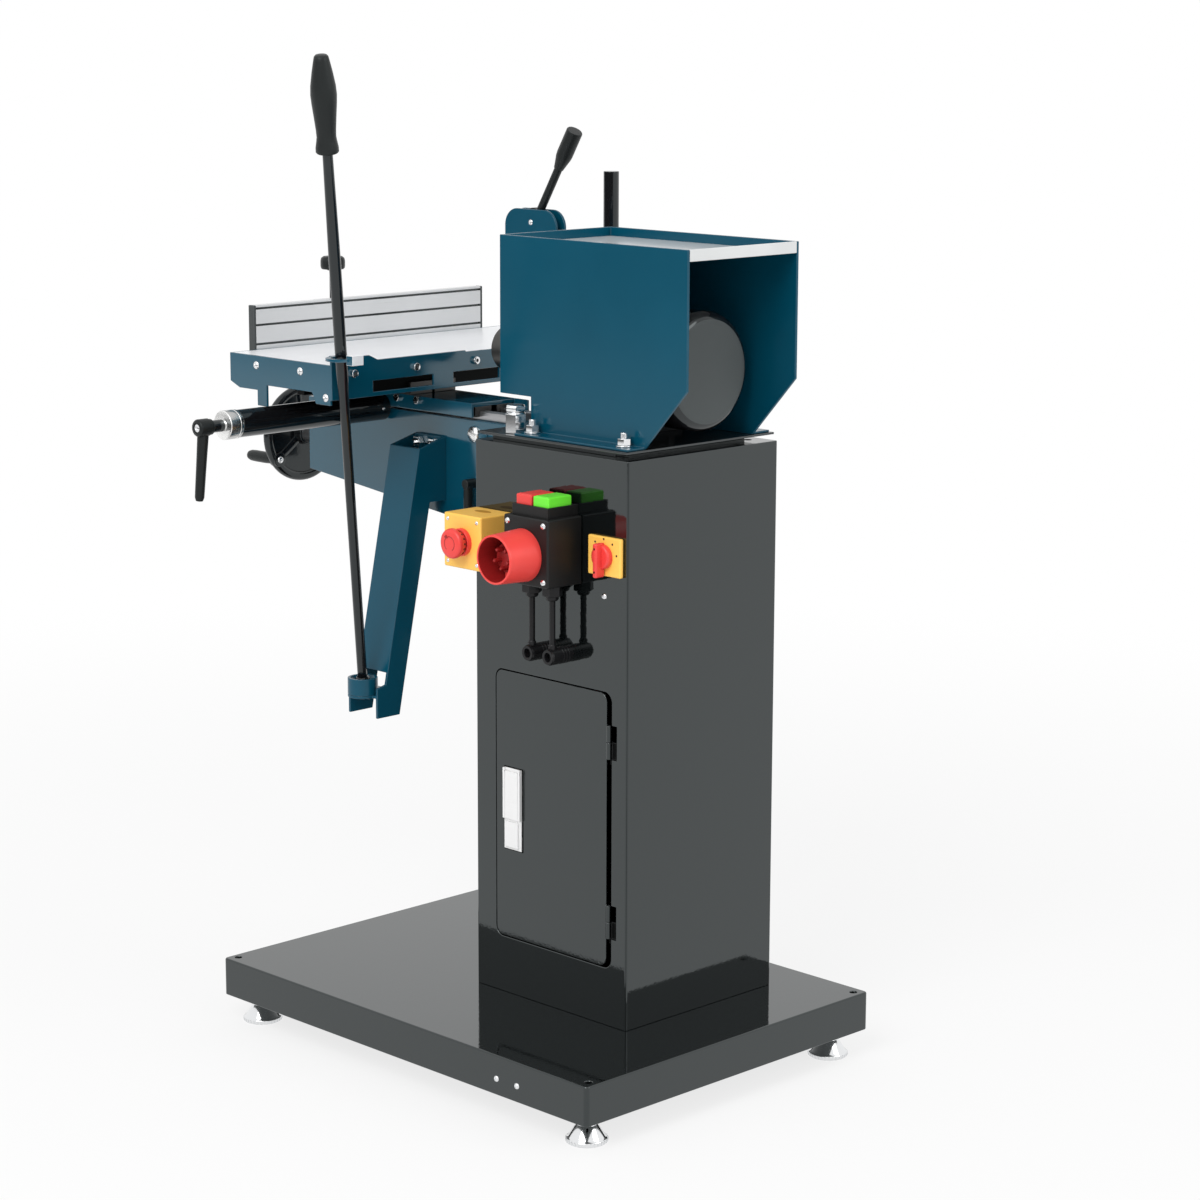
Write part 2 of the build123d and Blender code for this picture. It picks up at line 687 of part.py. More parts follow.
with BuildPart() as column_shell:
    block((col_left, FACE), (FRONT, BACK), (BASE_TOP, COL_TOP))
    fillet(column_shell.edges().filter_by(Axis.Z), COL_FOLD_R)
    block((col_left + COL_WALL, FACE - COL_WALL), (FRONT + COL_WALL, BACK - COL_WALL),
          (BASE_TOP, COL_TOP - COL_WALL), Mode.SUBTRACT)
    with BuildSketch(Plane.YZ.offset(FACE - COL_WALL)):
        with Locations(((door_front + door_back) / 2, (door_low + door_top) / 2)):
            RectangleRounded(door_back - door_front, DOOR_H, DOOR_CORNER_R + DOOR_GAP)
    extrude(amount=COL_WALL, mode=Mode.SUBTRACT)
    for y in cable_ys:
        rod("x", FACE - COL_WALL, FACE, ELBOW_BORE_R, y, elbow_z, Mode.SUBTRACT)
    rod("x", FACE - COL_WALL, FACE, SCREW_SHANK_R + SLIDE_GAP, BASE_Y + COLUMN_SCREW_Y,
        BASE_TOP + COLUMN_SCREW_Z, Mode.SUBTRACT)
    bolt_holes(COL_TOP - COL_WALL, COL_TOP)
    for z in hinge_zs:
        middle = z + HINGE_H / 2
        notch_back, arm_y = door_back + HINGE_NOTCH, hinge_y - HINGE_ARM_W / 2
        block((FACE - COL_WALL, FACE), (door_back, notch_back), (z, z + HINGE_H), Mode.SUBTRACT)
        block(leaf_x, (arm_y, notch_back + HINGE_LEAF), (z - HINGE_LEAF, middle))
        block((leaf_x[0], hinge_x), (arm_y, arm_y + HINGE_ARM_W), (z, middle))
        rod("z", z, middle, HINGE_R, hinge_x, hinge_y)
        rod("z", middle, z + HINGE_H, HINGE_PIN_R, hinge_x, hinge_y)
save(column_shell, "column_shell")

# Door: flush panel with the upper hinge knuckles
panel_front, panel_back = door_front + DOOR_GAP, door_back - DOOR_HINGE_GAP
with BuildPart() as door_panel:
    block((FACE - DOOR_SHEET, FACE), (panel_front, panel_back), (door_low + DOOR_GAP, door_top - DOOR_GAP))
    fillet(door_panel.edges().filter_by(Axis.X), DOOR_CORNER_R)
    for z in hinge_zs:
        middle, top = z + HINGE_H / 2 + SLIDE_GAP, z + HINGE_H
        rod("z", middle, top, HINGE_R, hinge_x, hinge_y)
        block((FACE - DOOR_SHEET, FACE), (panel_back, hinge_y), (middle, top))
        rod("z", middle, top, HINGE_PIN_R + RUN_GAP, hinge_x, hinge_y, Mode.SUBTRACT)
save(door_panel, "door_panel")

# Door latch: plate with side lips, and a paddle handle that swings out from its top pin
latch_y = (panel_front + LATCH_INSET, panel_front + LATCH_INSET + LATCH_W)
latch_z = (BASE_TOP + LATCH_Z, BASE_TOP + LATCH_Z + LATCH_H)
latch_front = FACE + LATCH_T
paddle_x = (latch_front + SLIDE_GAP, latch_front + SLIDE_GAP + LATCH_HANDLE_T)
paddle_z = (latch_z[1] - LATCH_LIP - LATCH_HANDLE_H, latch_z[1] - LATCH_LIP)
latch_pin_x = (paddle_x[0] + paddle_x[1]) / 2
latch_pin_z = paddle_z[1] - LATCH_HANDLE_T / 2
with BuildPart() as latch_plate:
    block((FACE, latch_front), latch_y, latch_z)
    for y in (latch_y[0], latch_y[1] - LATCH_LIP):
        block((latch_front, paddle_x[1]), (y, y + LATCH_LIP), (paddle_z[0], latch_z[1]))
        rod("y", y, y + LATCH_LIP, LATCH_PIN_R + RUN_GAP, latch_pin_x, latch_pin_z, Mode.SUBTRACT)
    button_low, button_top = latch_z[0] + LATCH_LIP, paddle_z[0] - LATCH_LIP
    block((latch_front, paddle_x[1]), (latch_y[0] + LATCH_LIP, latch_y[1] - LATCH_LIP),
          (button_low, button_top))
save(latch_plate, "latch_plate")

with BuildPart() as latch_handle:
    block(paddle_x, (latch_y[0] + LATCH_LIP + SLIDE_GAP, latch_y[1] - LATCH_LIP - SLIDE_GAP), paddle_z)
    fillet(latch_handle.faces().sort_by(Axis.Z)[-1].edges().filter_by(Axis.Y), LATCH_HANDLE_T / 2 - SLIDE_GAP)
    rod("y", latch_y[0] + SLIDE_GAP, latch_y[1] - SLIDE_GAP, LATCH_PIN_R, latch_pin_x, latch_pin_z)
save(latch_handle, "latch_handle")

# Motor plate: thin steel plate on a narrower spacer, so that a dark gap shows under its edge
with BuildPart() as motor_plate:
    block((col_left + SPACER_INSET, FACE - SPACER_INSET),
          (FRONT + SPACER_FRONT, FRONT + SPACER_FRONT + SPACER_D), (COL_TOP, COL_TOP + PLATE_GAP))
    block((col_left + PLATE_INSET, FACE - PLATE_INSET), (FRONT + PLATE_INSET, FRONT + PLATE_INSET + PLATE_D),
          (COL_TOP + PLATE_GAP, PLATE_TOP))
    bolt_holes(COL_TOP, PLATE_TOP)
    rod("z", COL_TOP + PLATE_GAP, PLATE_TOP, PLATE_HOLE_D / 2, col_left + PLATE_HOLE_X, FRONT + PLATE_HOLE_Y,
        Mode.SUBTRACT)
save(motor_plate, "motor_plate")

# Motor housing: side sheets notched in front and cut at the rear, a front sheet and outward feet
house_back = HOUSING_Y + HOUSING_L
foot_y = (HOUSING_Y + HOUSING_NOTCH_Y, house_back - HOUSING_CUT_Y)
notch_z = PLATE_TOP + HOUSING_NOTCH_Z
foot_top = PLATE_TOP + HOUSING_FOOT_T
side = [(HOUSING_Y, notch_z), (foot_y[0], notch_z), (foot_y[0], PLATE_TOP), (foot_y[1], PLATE_TOP),
        (house_back, PLATE_TOP + HOUSING_CUT_Z), (house_back, HOUSING_TOP), (HOUSING_Y, HOUSING_TOP)]
with BuildPart() as motor_housing:
    sheet_x(side, house_l, house_l + HOUSING_SHEET)
    sheet_x(side, house_r - HOUSING_SHEET, house_r)
    block((house_l, house_r), (HOUSING_Y, HOUSING_Y + HOUSING_SHEET), (notch_z, HOUSING_TOP))
    rod("y", HOUSING_Y, HOUSING_Y + HOUSING_SHEET, HOUSING_NOSE_R, COL_X, SPINDLE_Z, Mode.SUBTRACT)
    block((COL_X - HOUSING_NOSE_R, COL_X + HOUSING_NOSE_R), (HOUSING_Y, HOUSING_Y + HOUSING_SHEET),
          (notch_z, SPINDLE_Z), Mode.SUBTRACT)
    for low, high in ((house_l - HOUSING_FOOT, house_l), (house_r, house_r + HOUSING_FOOT)):
        block((low, high), foot_y, (PLATE_TOP, foot_top))
    bolt_holes(PLATE_TOP, foot_top)
save(motor_housing, "motor_housing")

# Tool tray: white sheet between the side sheets, folded up at the rear
tray_low = HOUSING_TOP - TRAY_DEPTH - TRAY_SHEET
with BuildPart() as tool_tray:
    tray_x = (house_l + HOUSING_SHEET, house_r - HOUSING_SHEET)
    block(tray_x, (HOUSING_Y + HOUSING_SHEET, house_back), (tray_low, tray_low + TRAY_SHEET))
    block(tray_x, (house_back - TRAY_SHEET, house_back), (tray_low, HOUSING_TOP))
save(tool_tray, "tool_tray")

# Frame fasteners: housing bolts with nuts, a tall hexagon stud, and small bright screws
switch_y = (BASE_Y + SWITCH_Y - SWITCH_W / 2, BASE_Y + SWITCH_Y + SWITCH_W / 2)
switch_x = (FACE, FACE + SWITCH_D)
estop_y, estop_z, estop_front = BASE_Y + ESTOP_Y, BASE_TOP + ESTOP_Z, FACE + ESTOP_D
estop_half = ESTOP_SIZE / 2
box_screws = [(switch_x[1], y, z) for y in (switch_y[0] + SCREW_INSET, switch_y[1] - SCREW_INSET)
              for z in (switch_low + SCREW_INSET, switch_top - SCREW_INSET)]
estop_screw = estop_half - SCREW_INSET
box_screws += [(estop_front, estop_y + i * estop_screw, estop_z + j * estop_screw) for i, j in corners]
sheet_screws = [(FACE, BASE_Y + COLUMN_SCREW_Y, BASE_TOP + COLUMN_SCREW_Z)]
sheet_screws += [(half_w, BASE_Y + y, FOOT_LIFT + SKIRT_SCREW_Z) for y in SKIRT_SCREW_YS]
with BuildPart() as frame_fasteners:
    bolt_low = COL_TOP - COL_WALL - BOLT_TAIL
    nut_low = foot_top + WASHER_T
    for x, y in bolt_places:
        rod("z", foot_top, nut_low, WASHER_R, x, y)
        hexagon("z", nut_low, nut_low + BOLT_HEAD_H, BOLT_AF, x, y)
        rod("z", bolt_low, nut_low + BOLT_HEAD_H + BOLT_TIP, BOLT_SHANK_R, x, y)
    hexagon("z", PLATE_TOP, PLATE_TOP + STUD_H, STUD_AF, *stud_place)
    rod("z", bolt_low, PLATE_TOP, BOLT_SHANK_R, *stud_place)
    for x, y, z in box_screws:
        rod("x", x, x + SCREW_HEAD_H, SCREW_R, y, z)
    for x, y, z in sheet_screws:
        rod("x", x, x + SCREW_HEAD_H, SCREW_R, y, z)
        rod("x", x - SCREW_SHANK_L, x, SCREW_SHANK_R, y, z)
save(frame_fasteners, "frame_fasteners")

# Motor casing: finned barrel with end walls that hold the bearings, feet and a terminal box
motor_back = MOTOR_Y + MOTOR_L
bearing_ys = [MOTOR_Y + (MOTOR_END - BEARING_W) / 2, motor_back - (MOTOR_END + BEARING_W) / 2]
with BuildPart() as motor_casing:
    rod("y", MOTOR_Y, motor_back, MOTOR_R, COL_X, SPINDLE_Z)
    for i in range(FIN_COUNT):
        with Locations(Location((COL_X, (MOTOR_Y + motor_back) / 2, SPINDLE_Z), (0, i * 360 / FIN_COUNT, 0))):
            Box(2 * (MOTOR_R + FIN_H), MOTOR_L - 2 * MOTOR_END, FIN_T)
    middle_y = (MOTOR_Y + motor_back) / 2
    base_y = (middle_y - MOTOR_FOOT_L / 2, middle_y + MOTOR_FOOT_L / 2)
    block((COL_X - MOTOR_FOOT_W / 2, COL_X + MOTOR_FOOT_W / 2), base_y, (PLATE_TOP, PLATE_TOP + MOTOR_FOOT_T))
    for x in (COL_X - MOTOR_R, COL_X + MOTOR_R - MOTOR_FOOT_T):
        block((x, x + MOTOR_FOOT_T), base_y, (PLATE_TOP, SPINDLE_Z))
    block((COL_X - MOTOR_R / 2, COL_X + MOTOR_R / 2), base_y,
          (SPINDLE_Z, SPINDLE_Z + MOTOR_R + MOTOR_END))
    rod("y", MOTOR_Y + MOTOR_END, motor_back - MOTOR_END, MOTOR_CAVITY_R, COL_X, SPINDLE_Z, Mode.SUBTRACT)
    rod("y", MOTOR_Y, motor_back, SHAFT_R + MOTOR_GAP, COL_X, SPINDLE_Z, Mode.SUBTRACT)
    for y in bearing_ys:
        rod("y", y, y + BEARING_W, BEARING_R, COL_X, SPINDLE_Z, Mode.SUBTRACT)
save(motor_casing, "motor_casing")

with BuildPart() as spindle_bearings:
    for y in bearing_ys:
        rod("y", y, y + BEARING_W, BEARING_R, COL_X, SPINDLE_Z)
        rod("y", y, y + BEARING_W, SHAFT_R + RUN_GAP, COL_X, SPINDLE_Z, Mode.SUBTRACT)
save(spindle_bearings, "spindle_bearings")

# Fan cowl: plain steel cup over the rear of the motor
cowl_front, cowl_back = motor_back - COWL_LAP, motor_back + COWL_L
with BuildPart() as motor_fan_cowl:
    rod("y", cowl_front, cowl_back, COWL_R, COL_X, SPINDLE_Z)
    fillet(motor_fan_cowl.faces().sort_by(Axis.Y)[-1].edges(), COWL_EDGE_R)
    rod("y", cowl_front, motor_back, MOTOR_R, COL_X, SPINDLE_Z, Mode.SUBTRACT)
    rod("y", motor_back, cowl_back - COWL_WALL, COWL_R - COWL_WALL - COWL_EDGE_R / 2, COL_X, SPINDLE_Z,
        Mode.SUBTRACT)
save(motor_fan_cowl, "motor_fan_cowl")

# Spindle: one shaft from the chuck through the rotor core to the fan
chuck_back = CHUCK_FRONT + CHUCK_L
shaft_front = chuck_back - CHUCK_SOCKET_L
fan_y = motor_back + FAN_GAP
with BuildPart() as spindle_shaft:
    rod("y", shaft_front, fan_y + FAN_W, SHAFT_R, COL_X, SPINDLE_Z)
    rod("y", chuck_back, MOTOR_Y - MOTOR_GAP, SHAFT_NOSE_R, COL_X, SPINDLE_Z)
    core = (MOTOR_Y + MOTOR_END + MOTOR_GAP, motor_back - MOTOR_END - MOTOR_GAP)
    rod("y", *core, ROTOR_R, COL_X, SPINDLE_Z)
    rod("y", fan_y, fan_y + FAN_W, FAN_HUB_R, COL_X, SPINDLE_Z)
    rod("y", fan_y, fan_y + FAN_BLADE_T, FAN_R, COL_X, SPINDLE_Z)
    for i in range(FAN_BLADES):
        angle = radians(i * 360 / FAN_BLADES)
        centre = (COL_X + FAN_R / 2 * cos(angle), fan_y + FAN_W / 2, SPINDLE_Z - FAN_R / 2 * sin(angle))
        with Locations(Location(centre, (0, i * 360 / FAN_BLADES, 0))):
            Box(FAN_R, FAN_W, FAN_BLADE_T)
save(spindle_shaft, "spindle_shaft")

# Chuck: body with an upright slot, and two jaws that grip a round shank
jaw_back = CHUCK_FRONT + JAW_DEPTH
slot_reach = JAW_OUT + JAW_OPENING + SLIDE_GAP
with BuildPart() as chuck_body:
    rod("y", CHUCK_FRONT, chuck_back, CHUCK_R, COL_X, SPINDLE_Z)
    chamfer(chuck_body.faces().sort_by(Axis.Y)[0].edges(), JAW_PROUD)
    block((COL_X - JAW_SLOT / 2, COL_X + JAW_SLOT / 2), (CHUCK_FRONT, jaw_back + SLIDE_GAP),
          (SPINDLE_Z - slot_reach, SPINDLE_Z + slot_reach), Mode.SUBTRACT)
    rod("y", shaft_front, chuck_back, SHAFT_R, COL_X, SPINDLE_Z, Mode.SUBTRACT)
    rod("y", jaw_back, shaft_front, CHUCK_BORE_R, COL_X, SPINDLE_Z, Mode.SUBTRACT)
save(chuck_body, "chuck_body")

jaw_face = JAW_GRIP_R * cos(radians(JAW_GRIP_HALF_ANGLE))
jaw_x = (COL_X - JAW_SLOT / 2 + SLIDE_GAP, COL_X + JAW_SLOT / 2 - SLIDE_GAP)
for jaw_name, hand in (("chuck_jaw_lower", -1), ("chuck_jaw_upper", 1)):
    with BuildPart() as chuck_jaw:
        jaw_z = sorted((SPINDLE_Z + hand * jaw_face, SPINDLE_Z + hand * JAW_OUT))
        block(jaw_x, (CHUCK_FRONT - JAW_PROUD, jaw_back), jaw_z)
        rod("y", CHUCK_FRONT - JAW_PROUD, jaw_back, JAW_GRIP_R, COL_X, SPINDLE_Z, Mode.SUBTRACT)
    save(chuck_jaw, jaw_name)

# Switch box: hollow moulding with a crown that frames two push buttons
crown_top = switch_top + SWITCH_CROWN
push_x = (FACE + PUSH_OUT, FACE + PUSH_OUT + PUSH_D)
push_middle = BASE_Y + SWITCH_Y
push_ys = {"stop_button": (push_middle - PUSH_SPLIT / 2 - PUSH_W, push_middle - PUSH_SPLIT / 2),
           "start_button": (push_middle + PUSH_SPLIT / 2, push_middle + PUSH_SPLIT / 2 + PUSH_W)}
with BuildPart() as switch_box:
    block(switch_x, switch_y, (switch_low, switch_top))
    block((FACE, switch_x[1] - SWITCH_CROWN_INSET),
          (switch_y[0] + SWITCH_CROWN_INSET, switch_y[1] - SWITCH_CROWN_INSET), (switch_top, crown_top))
    block((FACE, switch_x[1] - SWITCH_WALL), (switch_y[0] + SWITCH_WALL, switch_y[1] - SWITCH_WALL),
          (switch_low + SWITCH_WALL, switch_top - SWITCH_WALL), Mode.SUBTRACT)
    for y in push_ys.values():
        block((push_x[0] - SLIDE_GAP, push_x[1] + SLIDE_GAP), (y[0] - SLIDE_GAP, y[1] + SLIDE_GAP),
              (switch_top, crown_top), Mode.SUBTRACT)
save(switch_box, "switch_box")

for button_name, y in push_ys.items():
    with BuildPart() as push_button:
        block(push_x, y, (crown_top - PUSH_SUNK, crown_top + PUSH_PROUD))
        fillet(push_button.faces().sort_by(Axis.Z)[-1].edges(), PUSH_EDGE_R)
    save(push_button, button_name)

# Appliance inlet: red shroud round a pin carrier on the switch box front
inlet_y, inlet_back = BASE_Y + SWITCH_Y + INLET_SHIFT, switch_x[1]
inlet_z = switch_z - INLET_SAG
with BuildPart() as inlet_socket:
    cone("x", inlet_back, inlet_back + INLET_L, INLET_ROOT_R, INLET_R, inlet_y, inlet_z)
    rod("x", inlet_back + INLET_WALL, inlet_back + INLET_L, INLET_R - INLET_WALL, inlet_y, inlet_z,
        Mode.SUBTRACT)
    core_end = inlet_back + INLET_CORE_L - INLET_PIN_L
    rod("x", inlet_back, core_end, INLET_CORE_R, inlet_y, inlet_z)
    for i in range(INLET_PINS):
        angle = radians(INLET_PIN_TURN + i * 360 / INLET_PINS)
        rod("x", core_end, core_end + INLET_PIN_L, INLET_PIN_R, inlet_y + INLET_PIN_CIRCLE * cos(angle),
            inlet_z + INLET_PIN_CIRCLE * sin(angle))
save(inlet_socket, "inlet_socket")

# Emergency stop: yellow box and red mushroom head on a stem
with BuildPart() as estop_box:
    block((FACE, estop_front), (estop_y - estop_half, estop_y + estop_half),
          (estop_z - estop_half, estop_z + estop_half))
    fillet(estop_box.edges().filter_by(Axis.X), SWITCH_EDGE_R)
    inside = estop_half - SWITCH_WALL
    block((FACE, estop_front - SWITCH_WALL), (estop_y - inside, estop_y + inside),
          (estop_z - inside, estop_z + inside), Mode.SUBTRACT)
    rod("x", estop_front - SWITCH_WALL, estop_front, ESTOP_STEM_R + SLIDE_GAP, estop_y, estop_z,
        Mode.SUBTRACT)
save(estop_box, "estop_box")

with BuildPart() as estop_button:
    head_back = estop_front + ESTOP_STEM_L
    rod("x", estop_front - ESTOP_SUNK, head_back, ESTOP_STEM_R, estop_y, estop_z)
    rod("x", head_back, head_back + ESTOP_HEAD_L, ESTOP_HEAD_R, estop_y, estop_z)
    fillet(estop_button.faces().sort_by(Axis.X)[-1].edges(), ESTOP_HEAD_EDGE_R)
save(estop_button, "estop_button")

# Rotary switch: yellow plate and red grip on a round hub
rotary_y, rotary_z, rotary_front = BASE_Y + ROTARY_Y, BASE_TOP + ROTARY_Z, FACE + ROTARY_T
with BuildPart() as rotary_plate:
    block((FACE, rotary_front), (rotary_y - ROTARY_W / 2, rotary_y + ROTARY_W / 2),
          (rotary_z - ROTARY_H / 2, rotary_z + ROTARY_H / 2))
    fillet(rotary_plate.edges().filter_by(Axis.X), SWITCH_EDGE_R)
    rod("x", FACE, rotary_front, ROTARY_PIN_R + RUN_GAP, rotary_y, rotary_z, Mode.SUBTRACT)
save(rotary_plate, "rotary_plate")

with BuildPart() as rotary_knob:
    hub_back = rotary_front + SLIDE_GAP
    rod("x", hub_back - ROTARY_PIN_L, hub_back, ROTARY_PIN_R, rotary_y, rotary_z)
    rod("x", hub_back, hub_back + ROTARY_HUB_L, ROTARY_HUB_R, rotary_y, rotary_z)
    block((hub_back, hub_back + ROTARY_BAR_L), (rotary_y - ROTARY_BAR_W / 2, rotary_y + ROTARY_BAR_W / 2),
          (rotary_z - ROTARY_BAR_DOWN, rotary_z + ROTARY_BAR_UP))
save(rotary_knob, "rotary_knob")

# Switch cables: two short leads from glands under the box to elbow entries on the column
with BuildPart() as switch_cables:
    for y in cable_ys:
        hexagon("z", switch_low - GLAND_H, switch_low, GLAND_AF, CABLE_X, y)
        rod("z", elbow_z, switch_low - GLAND_H, CABLE_R, CABLE_X, y)
        rod("x", FACE, CABLE_X + ELBOW_PROUD, ELBOW_R, y, elbow_z)
save(switch_cables, "switch_cables")

# Height rails on the column front, and the nut block below the saddle's travel
rail_xs = (COL_X - RAIL_PITCH / 2, COL_X + RAIL_PITCH / 2)
nut_z = (NUT_BLOCK_LOW, NUT_BLOCK_LOW + NUT_BLOCK_H)
with BuildPart() as height_rails:
    for x in rail_xs:
        block((x - RAIL_W / 2, x + RAIL_W / 2), (RAIL_FACE, FRONT),
              (BASE_TOP + RAIL_LOW, COL_TOP - RAIL_TOP_GAP))
    block((COL_X - NUT_BLOCK_W / 2, COL_X + NUT_BLOCK_W / 2), (LEAD_Y - NUT_BLOCK_REACH, FRONT), nut_z)
    rod("z", *nut_z, LEAD_R + RUN_GAP, COL_X, LEAD_Y, Mode.SUBTRACT)
save(height_rails, "height_rails")

# Saddle: plate with four shoes that run on the rails
with BuildPart() as saddle:
    block((COL_X - SADDLE_W / 2, COL_X + SADDLE_W / 2), (SADDLE_FRONT, SADDLE_BACK), (SADDLE_LOW, SADDLE_TOP))
    for x in rail_xs:
        for z in (SADDLE_LOW, SADDLE_TOP - SHOE_H):
            block((x - SHOE_W / 2, x + SHOE_W / 2), (SADDLE_BACK, FRONT - SHOE_FACE_GAP), (z, z + SHOE_H))
        block((x - RAIL_W / 2 - SLIDE_GAP, x + RAIL_W / 2 + SLIDE_GAP), (RAIL_FACE - SLIDE_GAP, FRONT),
              (SADDLE_LOW, SADDLE_TOP), Mode.SUBTRACT)
save(saddle, "saddle")

# Support arm: welded box that tapers to its nose, with webs for the screw and the wheel shaft
arm_side = [(SADDLE_FRONT, ARM_TOP), (SADDLE_FRONT, ARM_TOP - ARM_ROOT_H), (NOSE_Y, ARM_TOP - ARM_NOSE_H),
            (NOSE_Y, ARM_TOP)]
inside_x = (ARM_L + ARM_WALL, ARM_R - ARM_WALL)
shaft_web_y = FRONT - SHAFT_WEB_OUT
lock_y = FRONT - HEIGHT_LOCK_OUT
with BuildPart() as support_arm:
    sheet_x(arm_side, ARM_L, inside_x[0])
    sheet_x(arm_side, inside_x[1], ARM_R)
    block(inside_x, (NOSE_Y, SADDLE_FRONT), (ARM_TOP - ARM_WALL, ARM_TOP))
    block(inside_x, (NOSE_Y, NOSE_Y + ARM_WALL), (ARM_TOP - ARM_NOSE_H, ARM_TOP - ARM_WALL))
    block(inside_x, (LEAD_Y - BEVEL_R, SADDLE_FRONT), (SCREW_WEB_Z, SCREW_WEB_Z + SCREW_WEB_T))
    block(inside_x, (shaft_web_y - SHAFT_WEB_T, shaft_web_y), (SCREW_WEB_Z, ARM_TOP - ARM_WALL))
    rod("z", SCREW_WEB_Z, SCREW_WEB_Z + SCREW_WEB_T, LEAD_R + RUN_GAP, COL_X, LEAD_Y, Mode.SUBTRACT)
    rod("y", NOSE_Y, NOSE_Y + ARM_WALL, WHEEL_SHAFT_R + RUN_GAP, COL_X, WHEEL_SHAFT_Z, Mode.SUBTRACT)
    rod("y", shaft_web_y - SHAFT_WEB_T, shaft_web_y, WHEEL_SHAFT_R + RUN_GAP, COL_X, WHEEL_SHAFT_Z,
        Mode.SUBTRACT)
    rod("x", inside_x[1], ARM_R, HEIGHT_LOCK_PIN_R + RUN_GAP, lock_y, HEIGHT_LOCK_Z, Mode.SUBTRACT)
save(support_arm, "support_arm")

# Lead screw with its bevel gear, hanging in the arm's web
gear_big_z = WHEEL_SHAFT_Z - BEVEL_R
with BuildPart() as lead_screw:
    rod("z", LEAD_LOW, gear_big_z, LEAD_R, COL_X, LEAD_Y)
    rod("z", SCREW_WEB_Z + SCREW_WEB_T + SLIDE_GAP, gear_big_z, BEVEL_HUB_R, COL_X, LEAD_Y)
    cone("z", gear_big_z, gear_big_z + BEVEL_FACE, BEVEL_R - SLIDE_GAP, BEVEL_R - BEVEL_FACE - SLIDE_GAP,
         COL_X, LEAD_Y)
save(lead_screw, "lead_screw")

# Handwheel shaft with its bevel pinion
pinion_big_y = LEAD_Y - BEVEL_R
with BuildPart() as handwheel_shaft:
    rod("y", WHEEL_Y - WHEEL_HUB_L / 2, pinion_big_y, WHEEL_SHAFT_R, COL_X, WHEEL_SHAFT_Z)
    rod("y", shaft_web_y + SLIDE_GAP, pinion_big_y, BEVEL_HUB_R, COL_X, WHEEL_SHAFT_Z)
    cone("y", pinion_big_y, pinion_big_y + BEVEL_FACE, BEVEL_R - SLIDE_GAP, BEVEL_R - BEVEL_FACE - SLIDE_GAP,
         COL_X, WHEEL_SHAFT_Z)
    collar_y = NOSE_Y - SLIDE_GAP
    rod("y", WHEEL_Y + WHEEL_HUB_L / 2, collar_y, BEVEL_HUB_R, COL_X, WHEEL_SHAFT_Z)
save(handwheel_shaft, "handwheel_shaft")

# Handwheel: round rim, closed web with three ribs and a crank boss
crank_x = COL_X + CRANK_RADIUS * cos(radians(CRANK_ANGLE))
crank_z = WHEEL_SHAFT_Z + CRANK_RADIUS * sin(radians(CRANK_ANGLE))
hub_y = (WHEEL_Y - WHEEL_HUB_L / 2, WHEEL_Y + WHEEL_HUB_L / 2)
crank_face = WHEEL_Y - WHEEL_RIM_R
with BuildPart() as handwheel:
    with Locations(Location((COL_X, WHEEL_Y, WHEEL_SHAFT_Z), TURNED["y"])):
        Torus(WHEEL_R - WHEEL_RIM_R, WHEEL_RIM_R)
    rod("y", *hub_y, WHEEL_HUB_R, COL_X, WHEEL_SHAFT_Z)
    rod("y", WHEEL_Y - WHEEL_WEB_T / 2, WHEEL_Y + WHEEL_WEB_T / 2, WHEEL_R - WHEEL_RIM_R, COL_X,
        WHEEL_SHAFT_Z)
    for i in range(WHEEL_RIBS):
        angle = CRANK_ANGLE + i * 360 / WHEEL_RIBS
        reach = (WHEEL_R - WHEEL_RIM_R) / 2
        centre = (COL_X + reach * cos(radians(angle)), WHEEL_Y, WHEEL_SHAFT_Z + reach * sin(radians(angle)))
        with Locations(Location(centre, (0, -angle, 0))):
            Box(2 * reach, WHEEL_RIB_T, WHEEL_RIB_W)
    rod("y", crank_face, WHEEL_Y + WHEEL_RIM_R, CRANK_BOSS_R, crank_x, crank_z)
    rod("y", *hub_y, WHEEL_SHAFT_R, COL_X, WHEEL_SHAFT_Z, Mode.SUBTRACT)
    rod("y", crank_face - CRANK_GRIP_L + CRANK_PIN_R, crank_face, CRANK_PIN_R, crank_x, crank_z)
save(handwheel, "handwheel")

with BuildPart() as crank_grip:
    grip_y = (crank_face - SLIDE_GAP - CRANK_GRIP_L, crank_face - SLIDE_GAP)
    rod("y", *grip_y, CRANK_GRIP_R, crank_x, crank_z)
    fillet(crank_grip.faces().sort_by(Axis.Y)[0].edges(), CRANK_PIN_R)
    rod("y", crank_face - CRANK_GRIP_L + CRANK_PIN_R - SLIDE_GAP, crank_face, CRANK_PIN_R + RUN_GAP,
        crank_x, crank_z, Mode.SUBTRACT)
save(crank_grip, "crank_grip")

# Height lock: small clamping lever on the arm's side
with BuildPart() as height_lock_lever:
    hub_x = (ARM_R + SLIDE_GAP, ARM_R + SLIDE_GAP + HEIGHT_LOCK_HUB_L)
    rod("x", *hub_x, HEIGHT_LOCK_R, lock_y, HEIGHT_LOCK_Z)
    rod("x", inside_x[1], hub_x[0], HEIGHT_LOCK_PIN_R, lock_y, HEIGHT_LOCK_Z)
    cone("z", HEIGHT_LOCK_Z - HEIGHT_LOCK_L, HEIGHT_LOCK_Z, HEIGHT_LOCK_R, HEIGHT_LOCK_R - SLIDE_GAP,
         hub_x[1] - HEIGHT_LOCK_R, lock_y)
save(height_lock_lever, "height_lock_lever")

